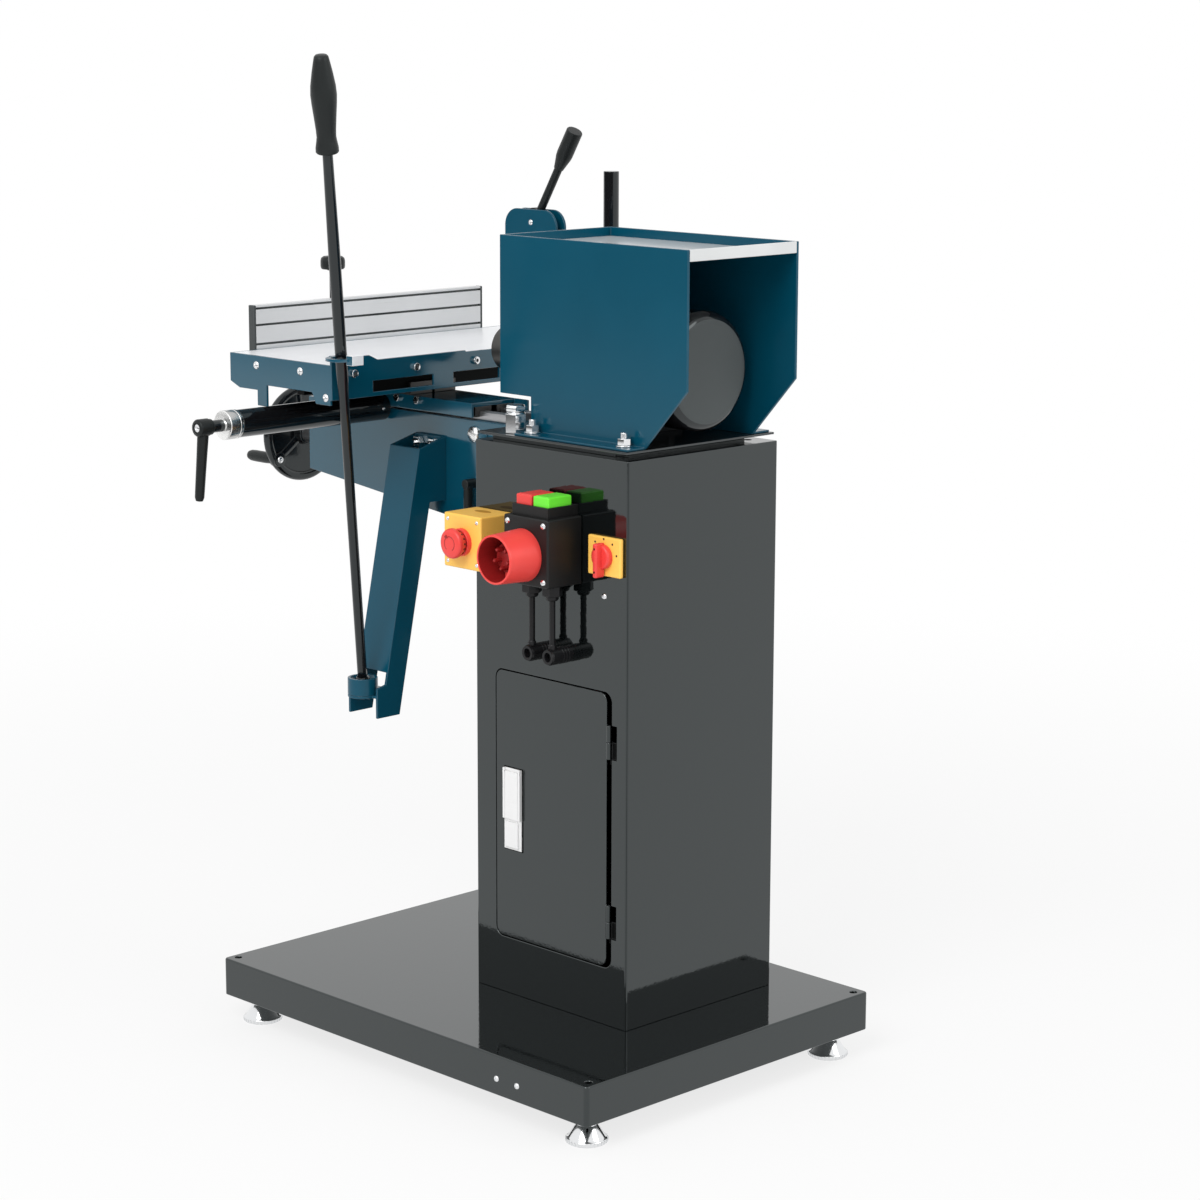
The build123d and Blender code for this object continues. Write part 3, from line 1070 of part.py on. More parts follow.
# Depth rails along the arm's top
depth_xs = (COL_X - DEPTH_RAIL_PITCH / 2, COL_X + DEPTH_RAIL_PITCH / 2)
depth_rail_top = ARM_TOP + DEPTH_RAIL_H
with BuildPart() as depth_rails:
    for x in depth_xs:
        block((x - DEPTH_RAIL_W / 2, x + DEPTH_RAIL_W / 2), (NOSE_Y + ARM_WALL, SADDLE_FRONT - ARM_WALL),
              (ARM_TOP, depth_rail_top))
save(depth_rails, "depth_rails")

# Cross carriage: inverted channel over the depth rails, its far wall longer than the roof
carriage_y = (FRONT - CARRIAGE_FRONT, FRONT - CARRIAGE_FRONT + CARRIAGE_L)
carriage_l = COL_X - CARRIAGE_W / 2
roof_low = CARRIAGE_TOP - CARRIAGE_TOP_T
with BuildPart() as cross_carriage:
    block((carriage_l, CARRIAGE_R), carriage_y, (roof_low, CARRIAGE_TOP))
    for x in (carriage_l, CARRIAGE_R - CARRIAGE_WALL):
        block((x, x + CARRIAGE_WALL), carriage_y, (CARRIAGE_LOW, roof_low))
    block((carriage_l, carriage_l + CARRIAGE_WALL), (carriage_y[1], carriage_y[1] + CARRIAGE_TAIL),
          (CARRIAGE_LOW, CARRIAGE_TOP))
save(cross_carriage, "cross_carriage")

# Slide blocks: four on the depth rails and four that hold the cross rails
cross_ys = [FRONT - out for out in CROSS_RAIL_OUTS]
cross_rail_low = CARRIAGE_TOP + CROSS_BLOCK_FLOOR + SLIDE_GAP
cross_block_top = CARRIAGE_TOP + CROSS_BLOCK_H
with BuildPart() as slide_blocks:
    for x in depth_xs:
        for y in (carriage_y[0], carriage_y[1] - BLOCK_L):
            block((x - BLOCK_W / 2, x + BLOCK_W / 2), (y, y + BLOCK_L), (CARRIAGE_LOW, roof_low))
        block((x - DEPTH_RAIL_W / 2 - SLIDE_GAP, x + DEPTH_RAIL_W / 2 + SLIDE_GAP), carriage_y,
              (ARM_TOP, depth_rail_top + SLIDE_GAP), Mode.SUBTRACT)
    for y in cross_ys:
        for x in (carriage_l, CARRIAGE_R - CROSS_BLOCK_L):
            block((x, x + CROSS_BLOCK_L), (y - BLOCK_W / 2, y + BLOCK_W / 2), (CARRIAGE_TOP, cross_block_top))
        block((carriage_l, CARRIAGE_R), (y - CROSS_RAIL_W / 2 - SLIDE_GAP, y + CROSS_RAIL_W / 2 + SLIDE_GAP),
              (cross_rail_low - SLIDE_GAP, cross_block_top), Mode.SUBTRACT)
save(slide_blocks, "slide_blocks")

# Cross rails: two deep bars under the table
with BuildPart() as cross_rails:
    rail_x = (COL_X - CROSS_RAIL_L / 2, COL_X + CROSS_RAIL_L / 2)
    for y in cross_ys:
        block(rail_x, (y - CROSS_RAIL_W / 2, y + CROSS_RAIL_W / 2), (cross_rail_low, TABLE_UNDER))
save(cross_rails, "cross_rails")

# Table top: ground aluminium plate inside its aprons
with BuildPart() as table_top:
    block((TABLE_LEFT + APRON_T, TABLE_R - APRON_T), (TABLE_FRONT + APRON_T, TABLE_BACK - APRON_T),
          (TABLE_UNDER, TABLE_TOP))
save(table_top, "table_top")

# Aprons: blue sheets on all four sides; the end sheets have a leg, the rear one has two slots
leg_y = TABLE_FRONT + APRON_LEG_IN
high_low = APRON_LOW + APRON_RAISE
end_outline = [(TABLE_FRONT, TABLE_TOP), (TABLE_FRONT, high_low), (TABLE_FRONT + APRON_LEG_W, APRON_LOW),
               (leg_y, APRON_LOW), (leg_y, APRON_LEG_LOW), (leg_y + APRON_LEG_W, APRON_LEG_LOW),
               (leg_y + APRON_LEG_W, high_low), (TABLE_BACK - APRON_LUG_W, high_low),
               (TABLE_BACK - APRON_LUG_W + APRON_RAISE, APRON_LUG_LOW), (TABLE_BACK - APRON_T, APRON_LUG_LOW),
               (TABLE_BACK - APRON_T, TABLE_TOP)]
corner_x = TABLE_R - APRON_CORNER_W
lip_x = COL_X + APRON_LIP_END
fence_low = TABLE_TOP + FENCE_LIFT
rear_outline = [(TABLE_LEFT, APRON_LOW), (TABLE_R, APRON_LOW), (TABLE_R, TABLE_TOP + APRON_CORNER_H),
                (corner_x, TABLE_TOP + APRON_CORNER_H), (corner_x - APRON_CORNER_RUN, TABLE_TOP + APRON_LIP),
                (lip_x, TABLE_TOP + APRON_LIP), (lip_x, TABLE_TOP), (TABLE_LEFT, TABLE_TOP)]
with BuildPart() as table_aprons:
    sheet_x(end_outline, TABLE_LEFT, TABLE_LEFT + APRON_T)
    sheet_x(end_outline, TABLE_R - APRON_T, TABLE_R)
    sheet_y(rear_outline, TABLE_BACK - APRON_T, TABLE_BACK)
    block((TABLE_LEFT + APRON_T, TABLE_R - APRON_T), (TABLE_FRONT, TABLE_FRONT + APRON_T),
          (high_low, TABLE_TOP))
    for start, length in APRON_SLOTS:
        slot_low = APRON_LOW + APRON_SLOT_LIFT
        block((COL_X + start, COL_X + start + length), (TABLE_BACK - APRON_T, TABLE_BACK),
              (slot_low, slot_low + APRON_SLOT_H), Mode.SUBTRACT)
    for x in (COL_X - FENCE_BRACKET_OFFSET, COL_X + FENCE_BRACKET_OFFSET):
        block((x - FENCE_BRACKET_W / 2, x + FENCE_BRACKET_W / 2),
              (TABLE_FRONT - FENCE_BRACKET_D, TABLE_FRONT), (FENCE_BRACKET_LOW, fence_low))
save(table_aprons, "table_aprons")

# Apron screws: socket heads along the rear sheet, button heads on the end sheets
with BuildPart() as apron_screws:
    for i in APRON_SCREW_STEPS:
        rod("y", TABLE_BACK, TABLE_BACK + APRON_SCREW_H, APRON_SCREW_R, COL_X + i * APRON_SCREW_PITCH,
            TABLE_TOP - APRON_SCREW_DROP)
    end_screws = [(inset, APRON_SCREW_DROP) for inset in END_SCREW_INS]
    end_screws.append((TABLE_D - LUG_SCREW_IN, LUG_SCREW_DROP))
    for inset, drop in end_screws:
        rod("x", TABLE_R, TABLE_R + SCREW_HEAD_H, APRON_SCREW_R, TABLE_FRONT + inset, TABLE_TOP - drop)
        rod("x", TABLE_LEFT - SCREW_HEAD_H, TABLE_LEFT, APRON_SCREW_R, TABLE_FRONT + inset, TABLE_TOP - drop)
save(apron_screws, "apron_screws")

# Stop tube: fixed to the carriage, beside the arm
with BuildPart() as stop_tube:
    rod("x", CARRIAGE_R, TUBE_END, TUBE_R, TUBE_Y, TUBE_Z)
    rod("x", CARRIAGE_R + ARM_WALL, TUBE_END, TUBE_BORE_R, TUBE_Y, TUBE_Z, Mode.SUBTRACT)
save(stop_tube, "stop_tube")

# Stop rod: bright collar on a rod that pulls out of the tube
collar_end = TUBE_END + SLIDE_GAP + COLLAR_L
stud_end = collar_end + STOP_STUD_L
with BuildPart() as stop_rod:
    rod("x", TUBE_END + SLIDE_GAP - STOP_ROD_L, TUBE_END + SLIDE_GAP, TUBE_BORE_R - SLIDE_GAP, TUBE_Y, TUBE_Z)
    rod("x", TUBE_END + SLIDE_GAP, collar_end, COLLAR_R, TUBE_Y, TUBE_Z)
    rod("x", collar_end, stud_end, STOP_STUD_R, TUBE_Y, TUBE_Z)
    rod("x", stud_end, stud_end + STOP_PIN_L, STOP_PIN_R, TUBE_Y, TUBE_Z)
save(stop_rod, "stop_rod")

with BuildPart() as ratchet_lever:
    hub = (stud_end + SLIDE_GAP, stud_end + SLIDE_GAP + RATCHET_HUB_L)
    rod("x", *hub, RATCHET_R, TUBE_Y, TUBE_Z)
    hang = Vector(0, -sin(radians(RATCHET_LEAN)), -cos(radians(RATCHET_LEAN)))
    turned_bar(((hub[0] + hub[1]) / 2, TUBE_Y, TUBE_Z), hang,
               [(0, RATCHET_ARM_R), (RATCHET_ARM_L, RATCHET_TIP_R)])
    fillet(ratchet_lever.faces().sort_by(Axis.Z)[0].edges(), RATCHET_TIP_R / 2)
    rod("x", hub[0], stud_end + STOP_PIN_L + SLIDE_GAP, STOP_PIN_R + RUN_GAP, TUBE_Y, TUBE_Z, Mode.SUBTRACT)
save(ratchet_lever, "ratchet_lever")

# Fence: extruded aluminium with three grooves in front and a track behind
fence_x = (COL_X - FENCE_L / 2, COL_X + FENCE_L / 2)
fence_top = fence_low + FENCE_H
track = (TABLE_TOP + FENCE_TRACK_Z - FENCE_TRACK_W / 2, TABLE_TOP + FENCE_TRACK_Z + FENCE_TRACK_W / 2)
with BuildPart() as fence:
    block((fence_x[0] + FENCE_CAP_T, fence_x[1] - FENCE_CAP_T), (FENCE_BACK, TABLE_FRONT),
          (fence_low, fence_top))
    for z in FENCE_GROOVE_ZS:
        block(fence_x, (TABLE_FRONT - FENCE_GROOVE, TABLE_FRONT),
              (fence_top - z - FENCE_GROOVE, fence_top - z), Mode.SUBTRACT)
    block(fence_x, (FENCE_BACK, FENCE_BACK + FENCE_TRACK_D), track, Mode.SUBTRACT)
save(fence, "fence")

with BuildPart() as fence_end_caps:
    for x in (fence_x[0], fence_x[1] - FENCE_CAP_T):
        block((x, x + FENCE_CAP_T), (FENCE_BACK, TABLE_FRONT), (fence_low, fence_top))
save(fence_end_caps, "fence_end_caps")

# Fence stop: slides in the rear track, locked by a knob on a tall stem
stop_back = FENCE_BACK - SLIDE_GAP
stop_z = (TABLE_TOP + STOP_LOW, TABLE_TOP + STOP_LOW + STOP_H)
stop_axis_y = stop_back - STOP_T / 2
with BuildPart() as fence_stop:
    stop_x = (STOP_X - STOP_W / 2, STOP_X + STOP_W / 2)
    block(stop_x, (stop_back - STOP_T, stop_back), stop_z)
    block(stop_x, (stop_back, FENCE_BACK + FENCE_TRACK_D - SLIDE_GAP),
          (track[0] + SLIDE_GAP, track[1] - SLIDE_GAP))
    rod("z", stop_z[0] + STOP_T / 2, stop_z[1], KNOB_STEM_R + RUN_GAP, STOP_X, stop_axis_y, Mode.SUBTRACT)
save(fence_stop, "fence_stop")

with BuildPart() as fence_knob:
    knob_low = TABLE_TOP + KNOB_Z - KNOB_H
    rod("z", stop_z[0] + STOP_T / 2 + SLIDE_GAP, knob_low, KNOB_STEM_R, STOP_X, stop_axis_y)
    rod("z", knob_low, knob_low + KNOB_H, KNOB_R, STOP_X, stop_axis_y)
    fillet(fence_knob.faces().sort_by(Axis.Z)[-1].edges(), KNOB_EDGE_R)
save(fence_knob, "fence_knob")

# Lever bracket: leaning channel bolted to the arm's side, with feet that hold a shelf
slope = tan(radians(BRACKET_LEAN))
bracket_back = FRONT - BRACKET_OUT
bracket_y = (bracket_back - BRACKET_W, bracket_back)


def web_x(z):
    """Outer face of the leaning web at a height."""
    return ARM_R + BRACKET_WEB_X + slope * (BRACKET_WEB_TOP - z)


shelf_top = LEVER_BALL_Z - BALL_R - CUP_T - 2 * SLIDE_GAP - SOCKET_FLOOR
foot_reach = web_x(BRACKET_FOOT_TOP) + BRACKET_FOOT_REACH
plate_face = ARM_R + BRACKET_PLATE_T
plate_low = BRACKET_TOP - BRACKET_PLATE_H
flange = [(ARM_R, BRACKET_TOP), (web_x(BRACKET_WEB_TOP), BRACKET_WEB_TOP),
          (web_x(BRACKET_FOOT_TOP), BRACKET_FOOT_TOP), (foot_reach, BRACKET_FOOT_TOP - BRACKET_T),
          (foot_reach, BRACKET_FOOT_LOW), (web_x(BRACKET_FOOT_LOW) - BRACKET_DEPTH, BRACKET_FOOT_LOW),
          (web_x(plate_low) - BRACKET_DEPTH, plate_low), (ARM_R, plate_low)]
web = [(web_x(BRACKET_WEB_TOP) - BRACKET_T, BRACKET_WEB_TOP), (web_x(BRACKET_WEB_TOP), BRACKET_WEB_TOP),
       (web_x(BRACKET_WEB_LOW), BRACKET_WEB_LOW), (web_x(BRACKET_WEB_LOW) - BRACKET_T, BRACKET_WEB_LOW)]
with BuildPart() as lever_bracket:
    sheet_y(flange, bracket_y[0], bracket_y[0] + BRACKET_T)
    sheet_y(flange, bracket_y[1] - BRACKET_T, bracket_y[1])
    sheet_y(web, bracket_y[0] + BRACKET_T, bracket_y[1] - BRACKET_T)
    inner_y = (bracket_y[0] + BRACKET_T, bracket_y[1] - BRACKET_T)
    block((ARM_R, plate_face), inner_y, (plate_low, BRACKET_TOP))
    block((web_x(shelf_top) - BRACKET_DEPTH, foot_reach), inner_y, (shelf_top - BRACKET_T, shelf_top))
    rod("z", shelf_top - BRACKET_T, shelf_top, SOCKET_R, LEVER_X, LEVER_Y)
save(lever_bracket, "lever_bracket")

# Arm bolts: two through the bracket's plate and one large dome on the arm's side
with BuildPart() as arm_bolts:
    bracket_mid = (bracket_y[0] + bracket_y[1]) / 2
    for y in (bracket_mid - BOLT_AF, bracket_mid + BOLT_AF):
        hexagon("x", plate_face, plate_face + BOLT_HEAD_H, BOLT_AF, y, BRACKET_TOP - BRACKET_BOLT_DROP)
    rod("x", ARM_R, ARM_R + ARM_BOLT_H, ARM_BOLT_R, FRONT - ARM_BOLT_OUT, ARM_BOLT_Z)
save(arm_bolts, "arm_bolts")

# Ball socket on the shelf, the cup that tips in it, and the lever's ball inside the cup
ball = (LEVER_X, LEVER_Y, LEVER_BALL_Z)
cup_r = BALL_R + SLIDE_GAP + CUP_T
with BuildPart() as ball_socket:
    rod("z", shelf_top, LEVER_BALL_Z + SOCKET_TOP, SOCKET_R, LEVER_X, LEVER_Y)
    with Locations(ball):
        Sphere(cup_r + SLIDE_GAP, mode=Mode.SUBTRACT)
    cone("z", LEVER_BALL_Z, LEVER_BALL_Z + SOCKET_TOP, cup_r, cup_r + SOCKET_TOP / 2, LEVER_X, LEVER_Y,
         Mode.SUBTRACT)
save(ball_socket, "ball_socket")

with BuildPart() as ball_cup:
    with Locations(ball):
        Sphere(cup_r)
        Sphere(BALL_R + SLIDE_GAP, mode=Mode.SUBTRACT)
    rod("z", LEVER_BALL_Z, LEVER_BALL_Z + cup_r, cup_r + SLIDE_GAP, LEVER_X, LEVER_Y, Mode.SUBTRACT)
save(ball_cup, "ball_cup")

# Control lever: ball, rod that is thickest at the guide, and a moulded grip
rise = Vector(GUIDE_X, GUIDE_Y, GUIDE_Z) - Vector(*ball)
lean = rise.normalized()
guide_at = rise.length
rod_end = LEVER_LEN - GRIP_L
socket_end = rod_end + GRIP_SOCKET_L
with BuildPart() as control_lever:
    with Locations(ball):
        Sphere(BALL_R)
    turned_bar(ball, lean, [(0, LEVER_END_R), (guide_at - LEVER_SWELL_LOW, LEVER_END_R),
                            (guide_at - LEVER_SWELL_TAPER, LEVER_MID_R),
                            (guide_at + LEVER_SWELL_HIGH, LEVER_MID_R),
                            (rod_end, LEVER_END_R), (socket_end, LEVER_END_R)])
save(control_lever, "control_lever")

with BuildPart() as lever_grip:
    turned_bar(ball, lean, [(rod_end, GRIP_FOOT_R), (rod_end + GRIP_FOOT_L, GRIP_FOOT_R),
                            (rod_end + GRIP_WAIST_AT, GRIP_WAIST_R), (rod_end + GRIP_BELLY_AT, GRIP_BELLY_R),
                            (rod_end + GRIP_TOP_AT, GRIP_TOP_R), (LEVER_LEN, GRIP_END_R)])
    with Locations(Plane(origin=Vector(*ball) + lean * (rod_end + socket_end) / 2, z_dir=lean).location):
        Cylinder(LEVER_END_R, GRIP_SOCKET_L, mode=Mode.SUBTRACT)
save(lever_grip, "lever_grip")

# Lever guide: eye plate on the table's raised corner, with a block clipped to its rim
guide_low = TABLE_TOP + APRON_CORNER_H
guide_top = guide_low + GUIDE_T
crossing = Vector(*ball) + lean * ((guide_low + GUIDE_T / 2 - LEVER_BALL_Z) / lean.Z)
eye = (crossing.X, crossing.Y + GUIDE_SHIFT)
clip_x = eye[0] + GUIDE_BLOCK_SHIFT
clip_y = eye[1] + GUIDE_HOLE_R + GUIDE_BLOCK_OUT
clip_low = guide_low - GUIDE_BLOCK_LAP
with BuildPart() as lever_guide:
    block((TABLE_R - GUIDE_TAIL, eye[0]), (TABLE_BACK - APRON_T, eye[1] + GUIDE_RIM), (guide_low, guide_top))
    rod("z", guide_low, guide_top, GUIDE_HOLE_R + GUIDE_RIM, *eye)
    rod("z", guide_low, guide_top, GUIDE_HOLE_R, *eye, Mode.SUBTRACT)
    block((clip_x - GUIDE_BLOCK / 2, clip_x + GUIDE_BLOCK / 2), (clip_y, clip_y + GUIDE_BLOCK_D),
          (clip_low, clip_low + GUIDE_BLOCK_H))
save(lever_guide, "lever_guide")

# Clamp post: round bar in a block on the rear apron
with BuildPart() as clamp_post:
    rod("z", POST_BLOCK_LOW, POST_TOP, POST_R, POST_X, POST_Y)
    block((POST_X - POST_BLOCK_W / 2, POST_X + POST_BLOCK_W / 2), (TABLE_BACK, POST_Y + POST_BLOCK_BACK),
          (POST_BLOCK_LOW, POST_BLOCK_LOW + POST_BLOCK_H))
save(clamp_post, "clamp_post")

# Clamp collar that sets the arm's height on the post
with BuildPart() as clamp_collar:
    collar_z = (CLAMP_ARM_LOW - SLIDE_GAP - CLAMP_COLLAR_H, CLAMP_ARM_LOW - SLIDE_GAP)
    rod("z", *collar_z, CLAMP_COLLAR_R, POST_X, POST_Y)
    rod("z", *collar_z, POST_R + RUN_GAP, POST_X, POST_Y, Mode.SUBTRACT)
save(clamp_collar, "clamp_collar")

# Clamp arm: sleeve on the post, bar out over the table, two round-topped cheeks at the head
bar_z = (CLAMP_BAR_LOW, CLAMP_BAR_LOW + CLAMP_BAR_H)
head_y = (CLAMP_Y - CLAMP_HEAD_L / 2, CLAMP_Y + CLAMP_HEAD_L / 2)
head_top = CLAMP_PIVOT_Z + CLAMP_HEAD_TOP
gap_half = CLAMP_HEAD_GAP / 2
guide_z = (CLAMP_HEAD_LOW, CLAMP_HEAD_LOW + CLAMP_GUIDE_H)
with BuildPart() as clamp_arm:
    rod("z", CLAMP_ARM_LOW, CLAMP_ARM_LOW + CLAMP_SLEEVE_H, CLAMP_SLEEVE_R, POST_X, POST_Y)
    block((POST_X - CLAMP_BAR_W / 2, POST_X + CLAMP_BAR_W / 2), (head_y[1] - CLAMP_BAR_LAP, POST_Y), bar_z)
    rod("z", CLAMP_ARM_LOW, CLAMP_ARM_LOW + CLAMP_SLEEVE_H, POST_R + RUN_GAP, POST_X, POST_Y, Mode.SUBTRACT)
    for x in (POST_X - gap_half - CLAMP_PLATE_T, POST_X + gap_half):
        with BuildSketch(Plane.YZ.offset(x)):
            with Locations((CLAMP_Y, (CLAMP_HEAD_LOW + head_top) / 2)):
                Rectangle(CLAMP_HEAD_L, head_top - CLAMP_HEAD_LOW)
            fillet(vertices().group_by(Axis.Y)[-1], CLAMP_HEAD_R)
        extrude(amount=CLAMP_PLATE_T)
    block((POST_X - gap_half, POST_X + gap_half),
          (CLAMP_Y - CLAMP_GUIDE_L / 2, CLAMP_Y + CLAMP_GUIDE_L / 2), guide_z)
    rod("z", *guide_z, PLUNGER_R + RUN_GAP, POST_X, CLAMP_Y, Mode.SUBTRACT)
    rod("x", POST_X - CLAMP_BAR_W, POST_X + CLAMP_BAR_W, CLAMP_PIN_R + RUN_GAP, CLAMP_Y, CLAMP_PIVOT_Z,
        Mode.SUBTRACT)
save(clamp_arm, "clamp_arm")

# Clamp lever: eccentric cam on a cross pin, slim bar and tapered grip
lever_dir = Vector(0, cos(radians(CLAMP_LEVER_ANGLE)), sin(radians(CLAMP_LEVER_ANGLE)))
pivot = (POST_X, CLAMP_Y, CLAMP_PIVOT_Z)
cam_half = gap_half - SLIDE_GAP
grip_from = CLAMP_LEVER_L - CLAMP_GRIP_L
lever_r = min(CLAMP_LEVER_R, cam_half)
with BuildPart() as clamp_lever:
    rod("x", POST_X - cam_half, POST_X + cam_half, CAM_R, CLAMP_Y, CLAMP_PIVOT_Z + CAM_OFFSET)
    pin_reach = gap_half + CLAMP_PLATE_T
    rod("x", POST_X - pin_reach, POST_X + pin_reach, CLAMP_PIN_R, CLAMP_Y, CLAMP_PIVOT_Z)
    turned_bar(pivot, lever_dir, [(0, lever_r), (grip_from, lever_r),
                                  (grip_from + lever_r / 2, lever_r + CLAMP_GRIP_STEP),
                                  (grip_from + CLAMP_GRIP_FLARE, CLAMP_GRIP_R),
                                  (CLAMP_LEVER_L, CLAMP_GRIP_R)])
save(clamp_lever, "clamp_lever")

# Clamp pad: plunger under the cam with a broad foot
with BuildPart() as clamp_pad:
    plunger_top = CLAMP_PIVOT_Z + CAM_OFFSET - CAM_R - SLIDE_GAP
    rod("z", PLUNGER_LOW + PAD_H, plunger_top, PLUNGER_R, POST_X, CLAMP_Y)
    rod("z", PLUNGER_LOW, PLUNGER_LOW + PAD_H, PAD_R, POST_X, CLAMP_Y)
    chamfer(clamp_pad.faces().sort_by(Axis.Z)[0].edges(), PAD_EDGE)
save(clamp_pad, "clamp_pad")
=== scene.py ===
import json
from math import cos, radians, sin, tau

import bmesh
import bpy
from mathutils import Matrix, Vector


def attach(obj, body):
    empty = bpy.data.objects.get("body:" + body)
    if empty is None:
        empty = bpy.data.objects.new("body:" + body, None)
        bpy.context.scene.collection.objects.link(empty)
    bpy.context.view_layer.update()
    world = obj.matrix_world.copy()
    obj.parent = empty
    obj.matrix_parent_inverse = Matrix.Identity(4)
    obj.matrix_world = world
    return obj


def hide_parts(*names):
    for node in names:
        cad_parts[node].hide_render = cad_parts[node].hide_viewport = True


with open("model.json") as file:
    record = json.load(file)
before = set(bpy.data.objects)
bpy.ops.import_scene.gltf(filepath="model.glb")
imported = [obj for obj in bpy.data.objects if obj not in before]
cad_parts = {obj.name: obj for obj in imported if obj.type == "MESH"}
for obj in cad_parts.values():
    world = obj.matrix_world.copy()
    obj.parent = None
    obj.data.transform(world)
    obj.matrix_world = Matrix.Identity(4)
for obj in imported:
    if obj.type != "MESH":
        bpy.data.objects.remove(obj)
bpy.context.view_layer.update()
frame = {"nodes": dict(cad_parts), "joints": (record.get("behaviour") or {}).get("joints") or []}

# Base plate: a tray folded from 5 mm sheet with welded corners, sprayed in glossy dark grey
# machine lacquer that shows a slight orange peel. Everything else stands on it.
MM = 0.001
WELD_DISTANCE = 0.01
FLAT_ANGLE, SHARP_ANGLE, CREASE_ANGLE = radians(1.0), radians(30.0), radians(50.0)
GREY = (0.0030, 0.0040, 0.0042)
# Pale grey laid in patches along rounded edges: partly wear, partly a painted edge highlight.
EDGE_WEAR_AND_GLINT_COLOUR = (0.30, 0.31, 0.32, 1.0)
COOL = (0.90, 0.99, 1.0, 1.0)
CLOUD_SCALE, PEEL_SCALE, EDGE_PATCH_SCALE = 7.0, 240.0, 60.0
PEEL_DEPTH = 0.0003
EDGE_WEAR_AND_GLINT = 0.10


class Wire:
    """One socket in a finish: + and * on it add Math nodes, and node() adds any other node."""

    def __init__(self, socket):
        self.socket = socket
        self.tree = socket.id_data

    def node(self, kind, settings, sockets, out=0):
        """Add a node: its settings first, then the values or links of its sockets."""
        new = self.tree.nodes.new(kind)
        for name, value in settings.items():
            setattr(new, name, value)
        for key, value in sockets.items():
            if isinstance(value, Wire):
                self.tree.links.new(value.socket, new.inputs[key])
            else:
                new.inputs[key].default_value = value
        return Wire(new.outputs[out])

    def into(self, shader, name):
        """Feed this socket to one of the shader's inputs."""
        self.tree.links.new(self.socket, shader.inputs[name])

    def maths(self, operation, first, second):
        """Add a Math node on two sockets or numbers."""
        return self.node("ShaderNodeMath", {"operation": operation}, {0: first, 1: second})

    def __add__(self, other):
        return self.maths("ADD", self, other)

    def __mul__(self, other):
        return self.maths("MULTIPLY", self, other)

    __radd__ = __add__
    __rmul__ = __mul__


def new_finish(name, fixed):
    """A material, its shader with the values that stay the same, and the place on the piece."""
    material = bpy.data.materials.new(name)
    material.use_nodes = True
    shader = material.node_tree.nodes["Principled BSDF"]
    for socket, value in fixed.items():
        shader.inputs[socket].default_value = value
    return material, shader, Wire(material.node_tree.nodes.new("ShaderNodeTexCoord").outputs["Object"])


def speckle(place, scale, detail=2.0):
    """Noise with lumps of about 1 / scale metres."""
    return place.node("ShaderNodeTexNoise", {}, {"Vector": place, "Scale": scale, "Detail": detail})


def tinted(amount, low, high):
    """Colour that goes from low to high with amount."""
    return amount.node("ShaderNodeMix", {"data_type": "RGBA"}, {0: amount, 6: low, 7: high}, 2)


def shade(colour, factor):
    """A colour made darker or paler, ready for a socket."""
    return (*[channel * factor for channel in colour], 1.0)


def raised(height, strength, depth):
    """Normal of a surface that rises with height by depth metres."""
    return height.node("ShaderNodeBump", {}, {"Strength": strength, "Distance": depth, "Height": height})


def lacquer(name, colour, rough, peel, level=0.5):
    """Sprayed lacquer: faint clouds, orange peel, and pale patches on rounded edges, worn and a painted
    highlight.
    """
    material, shader, place = new_finish(name, {"IOR": 1.55, "Specular IOR Level": level,
                                                "Specular Tint": COOL})
    cloud = speckle(place, CLOUD_SCALE, detail=3.0)
    skin = speckle(place, PEEL_SCALE)
    edge = place.node("ShaderNodeAttribute", {"attribute_name": "edge"}, {}, "Fac")
    # Paler patches on rounded edges: partly wear, partly a painted edge highlight.
    edge_wear_and_glint = EDGE_WEAR_AND_GLINT * edge * speckle(place, EDGE_PATCH_SCALE, detail=5.0)
    tone = tinted(cloud, shade(colour, 0.86), shade(colour, 1.14))
    tinted(edge_wear_and_glint, tone, EDGE_WEAR_AND_GLINT_COLOUR).into(shader, "Base Color")
    (rough + 0.04 * cloud + 0.02 * skin).into(shader, "Roughness")
    raised(skin, peel, PEEL_DEPTH).into(shader, "Normal")
    return material


def eased(node, width):
    """Copy of a sheet or a casting, in millimetres, with its sharp edges rounded."""
    form = bmesh.new()
    form.from_mesh(frame["nodes"][node].data)
    bmesh.ops.scale(form, vec=(1 / MM, 1 / MM, 1 / MM), verts=form.verts)
    bmesh.ops.remove_doubles(form, verts=form.verts, dist=WELD_DISTANCE)
    bmesh.ops.dissolve_limit(form, angle_limit=FLAT_ANGLE, verts=form.verts, edges=form.edges)
    rounded = form.faces.layers.float.new("edge")
    sharp = [edge for edge in form.edges if edge.is_manifold and edge.calc_face_angle(0.0) > SHARP_ANGLE]
    made = bmesh.ops.bevel(form, geom=sharp, offset=width, segments=2, profile=0.5, affect="EDGES",
                           material=-1, clamp_overlap=False)
    for face in made["faces"]:
        face[rounded] = 1.0
    return form


def fit(form, name, finishes, body, node):
    """Make a finished form, in millimetres, a piece that rides on a body and stands for its node."""
    bmesh.ops.scale(form, vec=(MM, MM, MM), verts=form.verts)
    for face in form.faces:
        face.smooth = True
    mesh = bpy.data.meshes.new(name)
    form.to_mesh(mesh)
    form.free()
    for finish in finishes:
        mesh.materials.append(finish)
    mesh.set_sharp_from_angle(angle=CREASE_ANGLE)
    piece = bpy.data.objects.new(name, mesh)
    bpy.context.scene.collection.objects.link(piece)
    piece.modifiers.new("flats", "WEIGHTED_NORMAL").keep_sharp = True
    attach(piece, body)
    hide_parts(node)


def dress(node, name, finish, body, width):
    """Give a node's own shape rounded edges and one finish."""
    fit(eased(node, width), name, [finish], body, node)


grey_lacquer = lacquer("grey_lacquer", GREY, rough=0.02, peel=0.12, level=0.70)
dress("base_plate", "base_tray", grey_lacquer, "frame", width=1.2)

